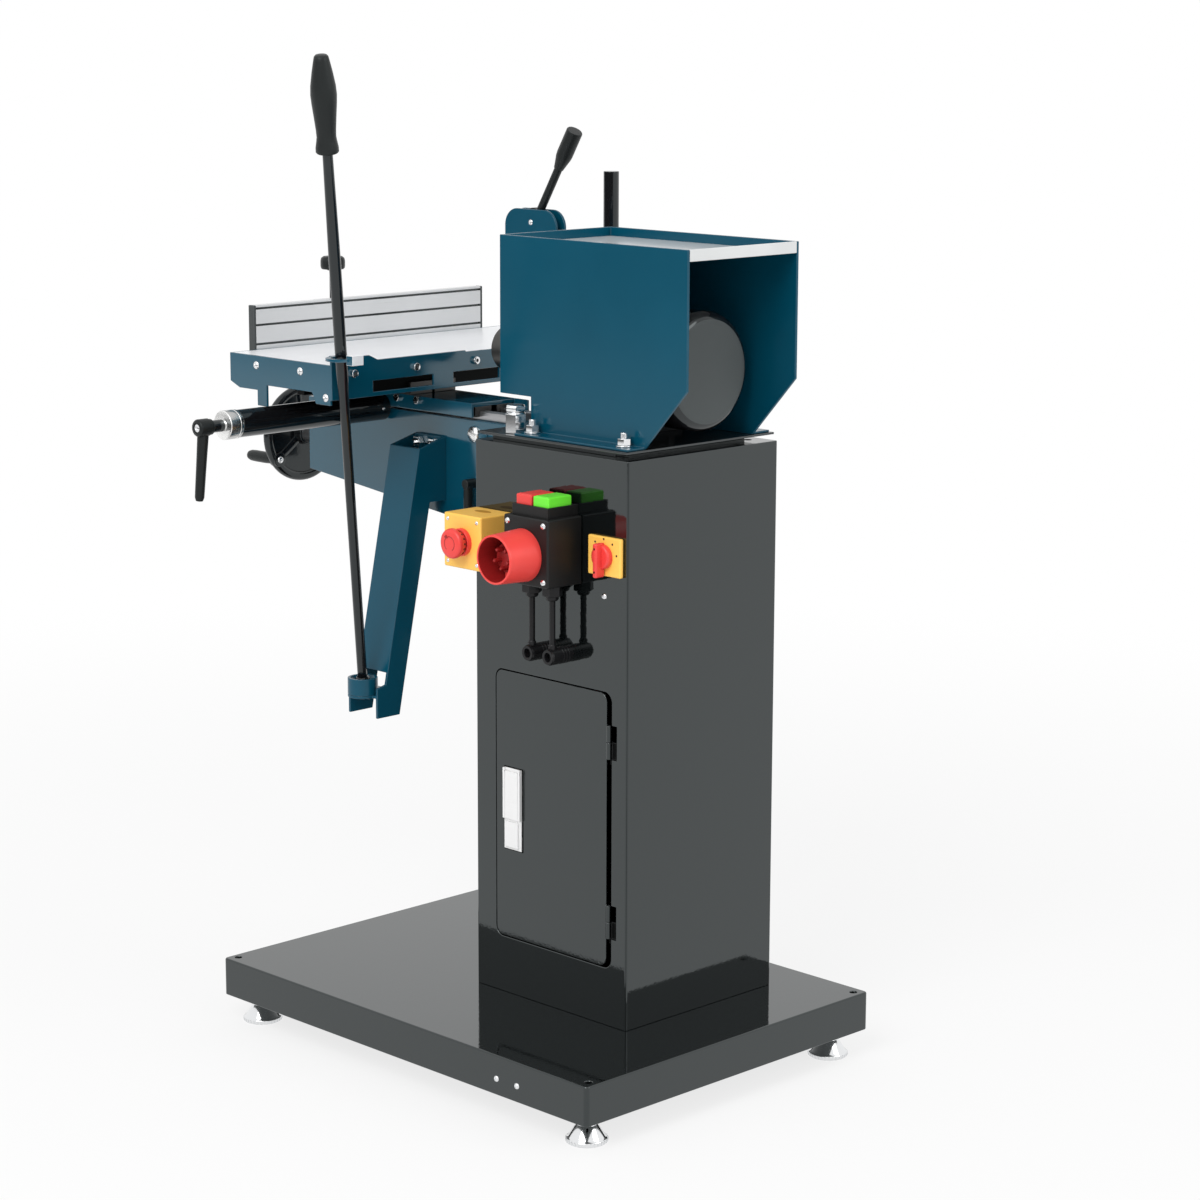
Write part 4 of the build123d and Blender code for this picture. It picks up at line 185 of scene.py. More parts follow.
# Levelling feet: turned steel bells with a ribbed rim, chromed, each on a round stud with a
# hexagon lock nut run up against the corner plate.
ALONG_X, ALONG_Y, ALONG_Z = (1, 0, 0), (0, 1, 0), (0, 0, 1)
CLOSE_DISTANCE = 0.001
RIM_ANGLE = radians(80.0)
FOOT_XS = (-230.0, 230.0)
FOOT_YS = (-190.0, 462.0)
BELL_TOP = 27.0
FOOT = [(0, 0), (25.4, 0), (26.6, 1.0), (26.8, 2.0), (26.8, 5.0), (26.0, 6.2), (23.8, 7.8), (15.4, 21.4),
        (13.6, 23.2), (13.0, 24.6), (13.0, BELL_TOP), (6.0, BELL_TOP), (6.0, 59.0), (5.0, 60.0), (0, 60.0)]
FOOT_RIBS = 32
FOOT_RIB_LOW, FOOT_RIB_HIGH = (26.2, -0.9, 1.3), (27.4, 0.9, 5.3)


def seat(at, axis=ALONG_Z, turn=0.0):
    """Place of a form: its Z along the axis, turned about it, its foot at a point."""
    lean = Vector(ALONG_Z).rotation_difference(Vector(axis)).to_matrix().to_4x4()
    return Matrix.Translation(at) @ lean @ Matrix.Rotation(turn, 4, "Z")


def joined(piece, form, where, paint=0):
    """Close a form, put it in its place and add it to its piece with one of the piece's finishes."""
    bmesh.ops.remove_doubles(form, verts=form.verts, dist=CLOSE_DISTANCE)
    bmesh.ops.recalc_face_normals(form, faces=form.faces)
    bmesh.ops.transform(form, matrix=where, verts=form.verts)
    for face in form.faces:
        face.material_index = paint
    part = bpy.data.meshes.new("form")
    form.to_mesh(part)
    form.free()
    piece.from_mesh(part)
    bpy.data.meshes.remove(part)


def spun(piece, profile, where, paint=0, steps=40):
    """Turn a profile of (radius, height) points, as on a lathe."""
    form = bmesh.new()
    row = [form.verts.new((radius, 0, height)) for radius, height in profile]
    line = [form.edges.new(pair) for pair in zip(row, row[1:])]
    bmesh.ops.spin(form, geom=row + line, cent=(0, 0, 0), axis=ALONG_Z, angle=tau, steps=steps,
                   use_merge=True)
    joined(piece, form, where, paint)


def slab(piece, low, high, ease, where=Matrix(), paint=0, segments=3):
    """Block between two corners, its edges rounded."""
    form = bmesh.new()
    bmesh.ops.create_cube(form, size=1.0)
    bmesh.ops.scale(form, vec=Vector(high) - Vector(low), verts=form.verts)
    bmesh.ops.translate(form, vec=(Vector(high) + Vector(low)) / 2, verts=form.verts)
    if ease:
        bmesh.ops.bevel(form, geom=form.edges[:], offset=ease, segments=segments, profile=0.5,
                        affect="EDGES", material=-1)
    joined(piece, form, where, paint)


def hexed(piece, where, flats, height, ease, paint=0):
    """Hexagon bar measured across its flats, with both rims chamfered."""
    form = bmesh.new()
    radius = flats / (2 * cos(radians(30)))
    bmesh.ops.create_cone(form, cap_ends=True, segments=6, radius1=radius, radius2=radius, depth=height)
    bmesh.ops.translate(form, vec=(0, 0, height / 2), verts=form.verts)
    rims = [edge for edge in form.edges if edge.calc_face_angle(0.0) > RIM_ANGLE]
    bmesh.ops.bevel(form, geom=rims, offset=ease, segments=2, profile=0.5, affect="EDGES", material=-1)
    joined(piece, form, where, paint)


def bright_metal(name, colour, rough, streak, across=(40.0, 40.0, 900.0), darkest=0.95):
    """Polished or plated metal: cloudy gloss and fine hairlines across it."""
    material, shader, place = new_finish(name, {"Metallic": 1.0})
    hairs = place.node("ShaderNodeMapping", {}, {"Vector": place, "Scale": across})
    lines = speckle(hairs, scale=1.0, detail=3.0)
    smear = speckle(place, scale=55.0, detail=3.0)
    tone = tinted(0.4 * smear + 0.6 * lines, shade(colour, darkest), shade(colour, 1.04))
    tone.into(shader, "Base Color")
    (rough + 0.05 * smear + streak * lines).into(shader, "Roughness")
    raised(lines, strength=0.06, depth=0.00003).into(shader, "Normal")
    return material


chrome = bright_metal("chrome", (0.80, 0.81, 0.82), rough=0.05, streak=0.06)
feet = bmesh.new()
for x in FOOT_XS:
    for y in FOOT_YS:
        spun(feet, FOOT, seat((x, y, 0)), steps=64)
        hexed(feet, seat((x, y, BELL_TOP)), flats=22.0, height=10.0, ease=0.9)
        for i in range(FOOT_RIBS):
            slab(feet, FOOT_RIB_LOW, FOOT_RIB_HIGH, ease=0, where=seat((x, y, 0), turn=i * tau / FOOT_RIBS))
fit(feet, "ribbed_feet", [chrome], "frame", "levelling_feet")

# Column: a box folded from sheet steel and welded down its back seam, open underneath, with the
# door opening and the fixed hinge knuckles in its right face. Grey lacquer outside; inside it is near-black
# as painted shade, so the gap round the door shows dark.
COLUMN_LOW, COLUMN_HIGH = Vector((-195.0, 100.0, 90.0)), Vector((85.0, 386.0, 841.0))
FACE_X = COLUMN_HIGH.x
SKIN = 0.8
# Near-black lacquer painted as shade: inside the column, round the latch and on the table rails.
painted_shade_black = lacquer("painted_shade_black", (0.003, 0.003, 0.003), rough=0.55, peel=0.2, level=0.1)
column = eased("column_shell", width=1.0)
for face in column.faces:
    spot = face.calc_center_median()
    inner = all(COLUMN_LOW[i] + SKIN < spot[i] < COLUMN_HIGH[i] - SKIN for i in range(3))
    face.material_index = 1 if inner else 0
fit(column, "column_box", [grey_lacquer, painted_shade_black], "frame", "column_shell")

# Door: a flush sheet panel on two pin hinges. Its latch is a plated pressing with side lips, a paddle that
# swings out from a pin at the top and a push block under it. A thin near-black rim round the pressing is
# painted shadow of its recess.
SHADOW_RIM_YS = ((155.6, 157.1), (189.9, 191.4))
SHADOW_RIM_ZS = ((291.6, 293.1), (404.9, 406.4))
SHADOW_RIM_X = FACE_X + 0.8
SHADOW_RIM_EDGE = 0.2
dress("door_panel", "door_sheet", grey_lacquer, "door", width=1.0)


def rolled(name, colour, rough, across):
    """Ground or extruded alloy: tool lines along the bar, and soft stains."""
    material, shader, place = new_finish(name, {"Metallic": 0.2, "IOR": 1.5})
    drawn = place.node("ShaderNodeMapping", {}, {"Vector": place, "Scale": across})
    lines = speckle(drawn, scale=1.0, detail=4.0)
    stain = speckle(place, scale=14.0, detail=4.0)
    tinted(0.5 * stain + 0.5 * lines, shade(colour, 0.90), shade(colour, 1.06)).into(shader, "Base Color")
    (rough + 0.10 * stain + 0.12 * lines).into(shader, "Roughness")
    raised(lines, strength=0.2, depth=0.00006).into(shader, "Normal")
    return material


satin_zinc = rolled("satin_zinc", (0.88, 0.88, 0.88), rough=0.30, across=(12.0, 12.0, 700.0))
pressing = eased("latch_plate", width=0.4)
# Thin near-black rim round the pressing: painted shadow of its recess.
for (y_low, y_high), (z_low, z_high) in zip(SHADOW_RIM_YS, SHADOW_RIM_ZS):
    slab(pressing, (FACE_X, y_low, SHADOW_RIM_ZS[0][0]), (SHADOW_RIM_X, y_high, SHADOW_RIM_ZS[1][1]), SHADOW_RIM_EDGE, paint=1)
    slab(pressing, (FACE_X, SHADOW_RIM_YS[0][0], z_low), (SHADOW_RIM_X, SHADOW_RIM_YS[1][1], z_high), SHADOW_RIM_EDGE, paint=1)
fit(pressing, "latch_pressing", [satin_zinc, painted_shade_black], "door", "latch_plate")
dress("latch_handle", "latch_paddle", satin_zinc, "latch", width=0.5)

# Motor plate: flat ground plate on a narrower spacer, so that a dark gap shows under its edge,
# blackened and oiled rather than sprayed.
# Near-black lacquer: the motor plate's own finish, also used as painted shade under the table, in the fence
# grooves and in socket bottoms.
black_plate_and_shade = lacquer("blackened_plate_and_painted_shade", (0.016, 0.017, 0.018), rough=0.14, peel=0.05, level=0.7)
dress("motor_plate", "plate_and_spacer", black_plate_and_shade, "frame", width=0.6)

# Motor housing: side sheets and a front sheet folded and welded, with outward feet at the bottom,
# sprayed petrol blue. The tray on top is a white enamelled sheet turned up at the rear.
BLUE = (0.0012, 0.066, 0.112)
blue_lacquer = lacquer("blue_lacquer", BLUE, rough=0.16, peel=0.08, level=0.26)
white_enamel = lacquer("white_enamel", (0.70, 0.71, 0.71), rough=0.12, peel=0.05, level=0.6)
dress("motor_housing", "housing_sheets", blue_lacquer, "frame", width=0.9)
dress("tool_tray", "tray_sheet", white_enamel, "frame", width=0.7)

# Fasteners of the frame: four bolts with washers and nuts through the housing's feet, one tall
# hexagon stud, and domed screws in the column, the skirt and the two switch boxes.
FLANGE_TOP = 855.0
BOLT_XS = (-170.5, 60.5)
BOLT_YS = (185.0, 354.0)
WASHER_T = 2.0
WASHER = [(5.2, 0), (10.5, 0), (11.0, 0.5), (11.0, 1.5), (10.5, WASHER_T), (5.2, WASHER_T), (5.2, 0)]
STUD = Vector((60.0, 152.0, 852.0))
STUD_H = 26.0
STUD_RING = [(0, STUD_H), (12.6, STUD_H), (12.6, 27.2), (11.8, 28), (0, 28)]
STUD_CAP_Z = 27.6
CASE_X, ESTOP_X, SKIRT_X = 147.0, 145.0, 268.0
CASE_SCREWS = [(CASE_X, y, z) for y in (229.5, 295.5) for z in (682.0, 755.0)]
ESTOP_SCREWS = [(ESTOP_X, y, z) for y in (112.0, 168.0) for z in (687.0, 743.0)]
SHEET_SCREWS = [(FACE_X, 344.0, 663.0), (SKIRT_X, 336.0, 59.0), (SKIRT_X, 374.0, 59.0)]


def thread(radius, length, pitch):
    """Profile of a threaded end: crests and roots along it, then a small chamfer."""
    points = [(0, 0)]
    for i in range(int(length / pitch)):
        points += [(radius, (i + 0.25) * pitch), (radius - 0.45 * pitch, (i + 0.75) * pitch)]
    return points + [(radius - 0.6 * pitch, length), (0, length)]


def domed_screw(piece, where, radius, height, paint=0):
    """Round head with a driver's recess in its crown."""
    crown = [(0, 0.4), (0.26, 0.45), (0.36, 0.98), (0.62, 0.9), (0.86, 0.6), (1.0, 0.2), (1.0, 0), (0, 0)]
    spun(piece, [(radius * r, height * h) for r, h in crown], where, paint, steps=24)


fasteners = bmesh.new()
for x in BOLT_XS:
    for y in BOLT_YS:
        spun(fasteners, WASHER, seat((x, y, FLANGE_TOP)))
        hexed(fasteners, seat((x, y, FLANGE_TOP + WASHER_T), turn=0.2), flats=16.0, height=9.0, ease=0.8)
        shank = thread(radius=5.0, length=17.0, pitch=1.4)
        spun(fasteners, shank, seat((x, y, FLANGE_TOP + WASHER_T / 2)), steps=24)
hexed(fasteners, seat(STUD, turn=0.3), flats=26.0, height=STUD_H, ease=0.8)
spun(fasteners, STUD_RING, seat(STUD))
hexed(fasteners, seat(STUD + STUD_CAP_Z * Vector(ALONG_Z), turn=0.3), flats=24.6, height=10.0, ease=3.2)
for place in CASE_SCREWS + SHEET_SCREWS:
    domed_screw(fasteners, seat(place, ALONG_X), radius=4.2, height=2.5)
for place in ESTOP_SCREWS:
    domed_screw(fasteners, seat(place, ALONG_X), radius=2.8, height=1.2)
fit(fasteners, "bolts_and_screws", [chrome], "frame", "frame_fasteners")

# Motor: a finned cast casing with end shields, two ball bearings, the spindle with its rotor and fan, and a
# drawn steel cowl over the fan, enamelled black, its flat end satin grey, a pale tone painted as the
# reflection of the white studio.
COWL = [(0, 392.0), (62.0, 392.0), (63.6, 391.6), (64.4, 391.8), (67.6, 391.2), (71.0, 389.8),
        (73.9, 387.6), (76.1, 384.8), (77.5, 381.4), (78.0, 377.6), (78.0, 297.0), (75.8, 297.0),
        (75.8, 377.0), (73.6, 383.0), (68.0, 388.0), (62.0, 389.6), (0, 389.6)]
COWL_END_Y = 391.0
COWL_SCREW_TURNS = (60.0, 180.0, 300.0)
COWL_SCREW_Y, COWL_SCREW_R = 306.0, 77.5
motor_iron = lacquer("motor_enamel", (0.03, 0.031, 0.033), rough=0.28, peel=0.25)
black_enamel = lacquer("black_enamel", (0.006, 0.006, 0.007), rough=0.04, peel=0.04)
# Satin grey whose paleness is a painted reflection of the white studio on the cowl's end.
painted_reflection_grey = lacquer("painted_reflection_grey", (0.066, 0.074, 0.075), rough=0.50, peel=0.12, level=0.25)
steel = bright_metal("ground_steel", (0.55, 0.55, 0.56), rough=0.22, streak=0.16)


def axis_point(joint):
    """A point on a joint's axis, in millimetres."""
    row = next(row for row in frame["joints"] if row["name"] == joint)
    return Vector([metres / MM for metres in row["pos_m"]])


def around(degrees):
    """Direction out from an axis along Y, turned from X towards Z."""
    return Vector((cos(radians(degrees)), 0, sin(radians(degrees))))


motor = axis_point("spindle_spin")
dress("motor_casing", "finned_casing", motor_iron, "frame", width=0.6)
dress("spindle_bearings", "ball_bearings", steel, "frame", width=0.5)
dress("spindle_shaft", "spindle_and_fan", steel, "spindle", width=0.5)
cowl = bmesh.new()
spun(cowl, COWL, seat((motor.x, 0, motor.z), ALONG_Y), steps=96)
for face in cowl.faces:
    face.material_index = 0 if face.calc_center_median().y > COWL_END_Y else 2
for turn in COWL_SCREW_TURNS:
    place = Vector((motor.x, COWL_SCREW_Y, motor.z)) + around(turn) * COWL_SCREW_R
    domed_screw(cowl, seat(place, around(turn)), radius=3.4, height=2.4, paint=1)
fit(cowl, "fan_cowl", [painted_reflection_grey, chrome, black_enamel], "frame", "motor_fan_cowl")

# Chuck: a blackened steel body on the spindle nose with an upright slot, and two hardened jaws
# that slide in it and grip a round shank.
dark_steel = bright_metal("blackened_steel", (0.09, 0.088, 0.085), rough=0.28, streak=0.14)
dress("chuck_body", "chuck_barrel", dark_steel, "spindle", width=0.8)
dress("chuck_jaw_upper", "jaw_above", steel, "jaw_upper", width=0.5)
dress("chuck_jaw_lower", "jaw_below", steel, "jaw_lower", width=0.5)

# Height slide: two ground rails and a nut block on the column, a saddle on four shoes, and the arm,
# a welded box that tapers to its nose. Arm and saddle are sprayed a glossier coat of the same blue.
arm_blue = lacquer("arm_lacquer", BLUE, rough=0.10, peel=0.06, level=0.8)
dress("height_rails", "rails_and_nut", steel, "frame", width=0.8)
dress("saddle", "saddle_plate", arm_blue, "arm", width=0.9)
dress("support_arm", "arm_box", arm_blue, "arm", width=1.0)

# Bolts of the arm: hexagon heads through the bracket's plate, and one large domed head near the
# column, all plated.
BRACKET_BOLTS = [(-14.0, y, 804.0) for y in (-122.0, -90.0)]
DOME = [(0, 0), (11.5, 0), (11.5, 1.2), (10.9, 3.2), (9.0, 5.2), (6.0, 6.5), (3.0, 6.9), (0, 7.0)]
DOME_PLACE = (-20.0, -16.0, 825.0)
plated = bright_metal("bright_zinc", (0.92, 0.92, 0.91), rough=0.22, streak=0.05)
arm_bolts = bmesh.new()
for place in BRACKET_BOLTS:
    hexed(arm_bolts, seat(place, ALONG_X), flats=16.0, height=9.0, ease=0.9)
    spun(arm_bolts, thread(radius=5.0, length=16.0, pitch=1.4), seat(place, ALONG_X), steps=24)
spun(arm_bolts, DOME, seat(DOME_PLACE, ALONG_X), paint=1)
fit(arm_bolts, "arm_fixings", [chrome, plated], "arm", "arm_bolts")

# Lead screw: a turned bar with a coarse thread, a hub and a bevel gear at its top. It hangs in the
# arm's web and runs in the nut block.
LEAD_LOW, LEAD_HIGH = 470.0, 733.0
LEAD_PITCH = 5.0
LEAD_BAR = [(0, LEAD_LOW), (5.6, LEAD_LOW), (6.4, LEAD_LOW + 1), (6.4, 735), (8, 735), (8, 747.5),
            (13, 747.5), (13, 759), (21.7, 759), (13.7, 767), (0, 767)]
RIDGE = [(6.2, -2.0), (8.0, -0.9), (8.0, 0.9), (6.2, 2.0)]
RIDGE_STEPS = 20
lead_axis = axis_point("screw_turn")
lead = bmesh.new()
spun(lead, LEAD_BAR, seat((lead_axis.x, lead_axis.y, 0)))
ridge = bmesh.new()
section = ridge.faces.new([ridge.verts.new((radius, 0, height)) for radius, height in RIDGE])
ridge_turns = (LEAD_HIGH - LEAD_LOW - 2 * LEAD_PITCH) / LEAD_PITCH
bmesh.ops.spin(ridge, geom=[section], cent=(0, 0, 0), axis=ALONG_Z, dvec=(0, 0, LEAD_PITCH / RIDGE_STEPS),
               angle=ridge_turns * tau, steps=int(ridge_turns * RIDGE_STEPS))
joined(lead, ridge, seat((lead_axis.x, lead_axis.y, LEAD_LOW + LEAD_PITCH)))
fit(lead, "threaded_screw", [steel], "screw", "lead_screw")

# Handwheel: cast iron with a round rim, a closed web with three ribs and a crank boss, sprayed black,
# on a steel shaft with a bevel pinion. The crank grip turns on a pin screwed into the boss.
RIM_R, RIM_BAR_R = 64.0, 7.0
HUB_BORE, HUB_HALF, WEB_HALF, BOSS_HALF = 8.0, 15.0, 2.5, 7.0
WHEEL_HUB = [(HUB_BORE, -HUB_HALF), (14.6, -HUB_HALF), (16, -13.6), (16, -4), (19, 0), (16, 4), (16, 13.6),
             (14.6, HUB_HALF), (HUB_BORE, HUB_HALF), (HUB_BORE, -HUB_HALF)]
WHEEL_WEB = [(15.5, -WEB_HALF), (RIM_R, -WEB_HALF), (RIM_R, WEB_HALF), (15.5, WEB_HALF), (15.5, -WEB_HALF)]
RIB_TURNS = (-37.0, 83.0, 203.0)
RIB_R, RIB_L, RIB_MIDDLE = (13.0, 11.0), 52.0, 36.0
RIB_SQUASH = (0.62, 0.4, 1.0)
CRANK_BOSS = [(0, -BOSS_HALF), (10, -BOSS_HALF), (11, -6), (11, 6), (10, BOSS_HALF), (0, BOSS_HALF)]
CRANK_PIN = [(0, 0), (4, 0), (4, 55), (0, 55)]
GRIP = [(0, 0), (6.4, 0), (7.2, 0.8), (7.7, 5.0), (8.5, 20.0), (8.5, 42.0), (8.0, 52.0), (6.6, 57.0),
        (4.0, 59.4), (0, 60)]
GRIP_GAP = 0.3
black_casting = lacquer("wheel_enamel", (0.005, 0.005, 0.006), rough=0.12, peel=0.30)
black_moulding = lacquer("black_moulding", (0.010, 0.011, 0.011), rough=0.34, peel=0.35, level=0.22)
dress("handwheel_shaft", "wheel_shaft", steel, "wheel", width=0.5)
hub = axis_point("wheel_turn")
crank = axis_point("crank_spin")
wheel = bmesh.new()
rim = bmesh.new()
bmesh.ops.create_circle(rim, segments=20, radius=RIM_BAR_R,
                        matrix=Matrix.Translation((RIM_R, 0, 0)) @ Matrix.Rotation(radians(90), 4, "X"))
bmesh.ops.spin(rim, geom=rim.verts[:] + rim.edges[:], cent=(0, 0, 0), axis=ALONG_Z, angle=tau, steps=72,
               use_merge=True)
joined(wheel, rim, seat(hub, ALONG_Y))
spun(wheel, WHEEL_HUB, seat(hub, ALONG_Y))
spun(wheel, WHEEL_WEB, seat(hub, ALONG_Y), steps=72)
for turn in RIB_TURNS:
    rib = bmesh.new()
    bmesh.ops.create_cone(rib, cap_ends=True, segments=24, radius1=RIB_R[0], radius2=RIB_R[1], depth=RIB_L)
    bmesh.ops.scale(rib, vec=RIB_SQUASH, verts=rib.verts)
    out = around(turn)
    lean = Matrix((Vector((-out.z, 0, out.x)), Vector(ALONG_Y), out)).transposed().to_4x4()
    joined(wheel, rib, Matrix.Translation(hub + out * RIB_MIDDLE) @ lean)
boss_front = (crank.x, hub.y - BOSS_HALF, crank.z)
boss_back = (crank.x, hub.y + BOSS_HALF, crank.z)
spun(wheel, CRANK_BOSS, seat((crank.x, hub.y, crank.z), ALONG_Y))
spun(wheel, CRANK_PIN, seat(boss_front, (0, -1, 0)), paint=1)
domed_screw(wheel, seat(boss_back, ALONG_Y), radius=5.0, height=2.2, paint=1)
fit(wheel, "cast_wheel", [black_casting, chrome], "wheel", "handwheel")
grip = bmesh.new()
spun(grip, GRIP, seat((crank.x, hub.y - BOSS_HALF - GRIP_GAP, crank.z), (0, -1, 0)))
fit(grip, "turned_crank_grip", [black_moulding], "crank", "crank_grip")

# Height lock: a small clamping lever on the arm's side, die-cast and coated black. It turns on a pin
# in the arm's wall and clamps the saddle.
dress("height_lock_lever", "arm_lock_lever", black_moulding, "height_lock", width=1.0)

# Depth slide: two ground rails on the arm, steel slide blocks on them, and the carriage, an inverted
# channel bent from blue sheet with two hexagon bolts through its side.
CARRIAGE_BOLTS = [(-13.2, y, 862.4) for y in (-167.0, -125.0)]
dress("depth_rails", "depth_bars", steel, "arm", width=0.7)
dress("slide_blocks", "runner_blocks", dark_steel, "carriage", width=0.7)
carriage = eased("cross_carriage", width=0.9)
for place in CARRIAGE_BOLTS:
    hexed(carriage, seat(place, ALONG_X), flats=10.0, height=5.2, ease=0.5, paint=1)
fit(carriage, "carriage_channel", [arm_blue, chrome], "carriage", "cross_carriage")

# Depth stop: a black enamelled tube on the carriage, and in it a rod with a bright turned collar and
# a ratchet lever on a black stud.
TUBE_R = 18.6
COLLAR = [(0, 248.3), (19.2, 248.3), (20.0, 249.1), (20.0, 253.0), (19.4, 253.4), (19.4, 254.2),
          (20.0, 254.6), (20.0, 269.2), (18.9, 270.3), (8.2, 270.3), (8.0, 270.8), (8.0, 272), (8.4, 272.6),
          (8.4, 288.0), (7.6, 290.3), (5.0, 290.3), (5.0, 306.0), (0, 306.0)]
COLLAR_STUD_X = 271.9
SIDE_SLOPE = 0.3
STOP_ROD = [(0, 99.0), (14.6, 99.0), (15.2, 99.6), (15.2, 248.3), (0, 248.3)]
LEVER_HUB = [(5.2, 0.3), (10.2, 0.3), (10.8, 0.9), (10.8, 5.0), (12, 6.0), (12, 21.4), (10.6, 23.4),
             (7.2, 24.0), (6.8, 23.2), (0, 23.2)]
LEVER_BAR = [(0, 8), (7.6, 8), (8.0, 0), (7.7, -14), (7.2, -40), (6.9, -64), (6.7, -84), (6.5, -97),
             (5.0, -101.6), (0, -103)]
LEVER_HUB_X, LEVER_BAR_X, LEVER_SCREW_X = 290.3, 302.6, 313.0
LEVER_LEAN = radians(7.0)
turned_steel = bright_metal("turned_steel", (0.74, 0.74, 0.73), rough=0.14, streak=0.10,
                            across=(700.0, 6.0, 6.0), darkest=0.35)
stop_axis = axis_point("ratchet_turn")


def on_stop(x):
    """Point of the depth stop's axis at a place along the tube."""
    return (x, stop_axis.y, stop_axis.z)


tube = eased("stop_tube", width=0.9)
domed_screw(tube, seat((0, stop_axis.y + TUBE_R, stop_axis.z), ALONG_Y), radius=2.6, height=1.2, paint=1)
fit(tube, "stop_bar_tube", [black_enamel, chrome], "carriage", "stop_tube")
collar = bmesh.new()
spun(collar, COLLAR, seat(on_stop(0), ALONG_X), steps=72)
for face in collar.faces:
    stud = min(vert.co.x for vert in face.verts) > COLLAR_STUD_X
    face.material_index = 1 if stud else 2 if abs(face.normal.x) < SIDE_SLOPE else 0
spun(collar, STOP_ROD, seat(on_stop(0), ALONG_X))
fit(collar, "stop_collar", [plated, black_enamel, turned_steel], "stop_bar", "stop_rod")
ratchet = bmesh.new()
spun(ratchet, LEVER_HUB, seat(on_stop(LEVER_HUB_X), ALONG_X))
spun(ratchet, LEVER_BAR, seat(on_stop(LEVER_BAR_X), (0, sin(LEVER_LEAN), cos(LEVER_LEAN))))
domed_screw(ratchet, seat(on_stop(LEVER_SCREW_X), ALONG_X), radius=5.6, height=1.5, paint=1)
fit(ratchet, "clamping_lever", [black_moulding, chrome], "ratchet", "ratchet_lever")

# Table: a ground aluminium plate on two deep cross rails, with blue sheet aprons round it that are
# screwed to its edges. Two slots in the rear apron give access to the rails.
table_alloy = rolled("ground_alloy", (0.90, 0.91, 0.93), rough=0.24, across=(12.0, 700.0, 700.0))
# The rails are near-black as painted shade, so the apron's slots show dark.
dress("cross_rails", "table_rails", painted_shade_black, "table", width=0.8)
table = eased("table_top", width=0.8)
# The plate's downward faces are painted black as painted shade.
for face in table.faces:
    face.material_index = 1 if face.normal.z < -0.5 else 0
fit(table, "table_plate", [table_alloy, black_plate_and_shade], "table", "table_top")
dress("table_aprons", "apron_sheets", arm_blue, "table", width=0.8)

# Apron screws: socket heads along the rear sheet and domed heads on the ends, zinc plated.
# The bottom of each socket is painted black as the shade inside it.
REAR_SCREWS = [(x, -53.0, 921.0) for x in (-165.0, -55.0, 55.0, 165.0)]
END_SCREWS = [(-213.0, 921.0), (-119.0, 921.0), (-66.0, 890.0)]
APRON_ENDS = ((202.0, ALONG_X), (-312.0, (-1, 0, 0)))
CROWN_SHARE = 0.9


def corners_of(made):
    """Vertices among what an operator made."""
    return [item for item in made if isinstance(item, bmesh.types.BMVert)]


def edges_between(made, corners):
    """Edges among what an operator made that join two of these corners."""
    return [item for item in made if isinstance(item, bmesh.types.BMEdge)
            and all(corner in corners for corner in item.verts)]


def edges_at(corners):
    """Edges that meet at these corners, each of them once."""
    return list(dict.fromkeys(edge for corner in corners for edge in corner.link_edges))


def socket_screw(piece, where, radius, height, paint=0):
    """Head with rounded rim and a hexagon socket, whose bottom has the piece's next finish."""
    form = bmesh.new()
    key = radius * 0.5
    rim = bmesh.ops.create_circle(form, segments=24, radius=radius * CROWN_SHARE)["verts"]
    rim_edges = edges_at(rim)
    bmesh.ops.translate(form, vec=(0, 0, height), verts=rim)
    mouth = bmesh.ops.create_circle(form, segments=6, radius=key)["verts"]
    bmesh.ops.subdivide_edges(form, edges=edges_at(mouth), cuts=3)
    mouth_edges = [edge for edge in form.edges if edge not in rim_edges]
    mouth = list(dict.fromkeys(corner for edge in mouth_edges for corner in edge.verts))
    bmesh.ops.translate(form, vec=(0, 0, height), verts=mouth)
    bmesh.ops.bridge_loops(form, edges=rim_edges + mouth_edges)
    well = bmesh.ops.extrude_edge_only(form, edges=mouth_edges)["geom"]
    bottom = corners_of(well)
    bmesh.ops.translate(form, vec=(0, 0, -0.6 * height), verts=bottom)
    bmesh.ops.contextual_create(form, geom=edges_between(well, bottom))
    skirt = bmesh.ops.extrude_edge_only(form, edges=rim_edges)["geom"]
    shoulder = corners_of(skirt)
    bmesh.ops.scale(form, vec=(1 / CROWN_SHARE, 1 / CROWN_SHARE, 1.0), verts=shoulder)
    bmesh.ops.translate(form, vec=(0, 0, -0.12 * height), verts=shoulder)
    wall = bmesh.ops.extrude_edge_only(form, edges=edges_between(skirt, shoulder))["geom"]
    bmesh.ops.translate(form, vec=(0, 0, -0.88 * height), verts=corners_of(wall))
    joined(piece, form, where, paint)
    low, high = 0.5 * height, 0.5 * height + 0.2
    # Dark disc at the socket's bottom: painted shade.
    spun(piece, [(0, low), (key, low), (key, high), (0, high)], where, paint + 1, steps=6)


screws = bmesh.new()
for place in REAR_SCREWS:
    socket_screw(screws, seat(place, ALONG_Y), radius=5.5, height=5.0)
for y, z in END_SCREWS:
    for x, outwards in APRON_ENDS:
        domed_screw(screws, seat((x, y, z), outwards), radius=5.5, height=2.5)
fit(screws, "apron_fixings", [chrome, black_plate_and_shade], "table", "apron_screws")

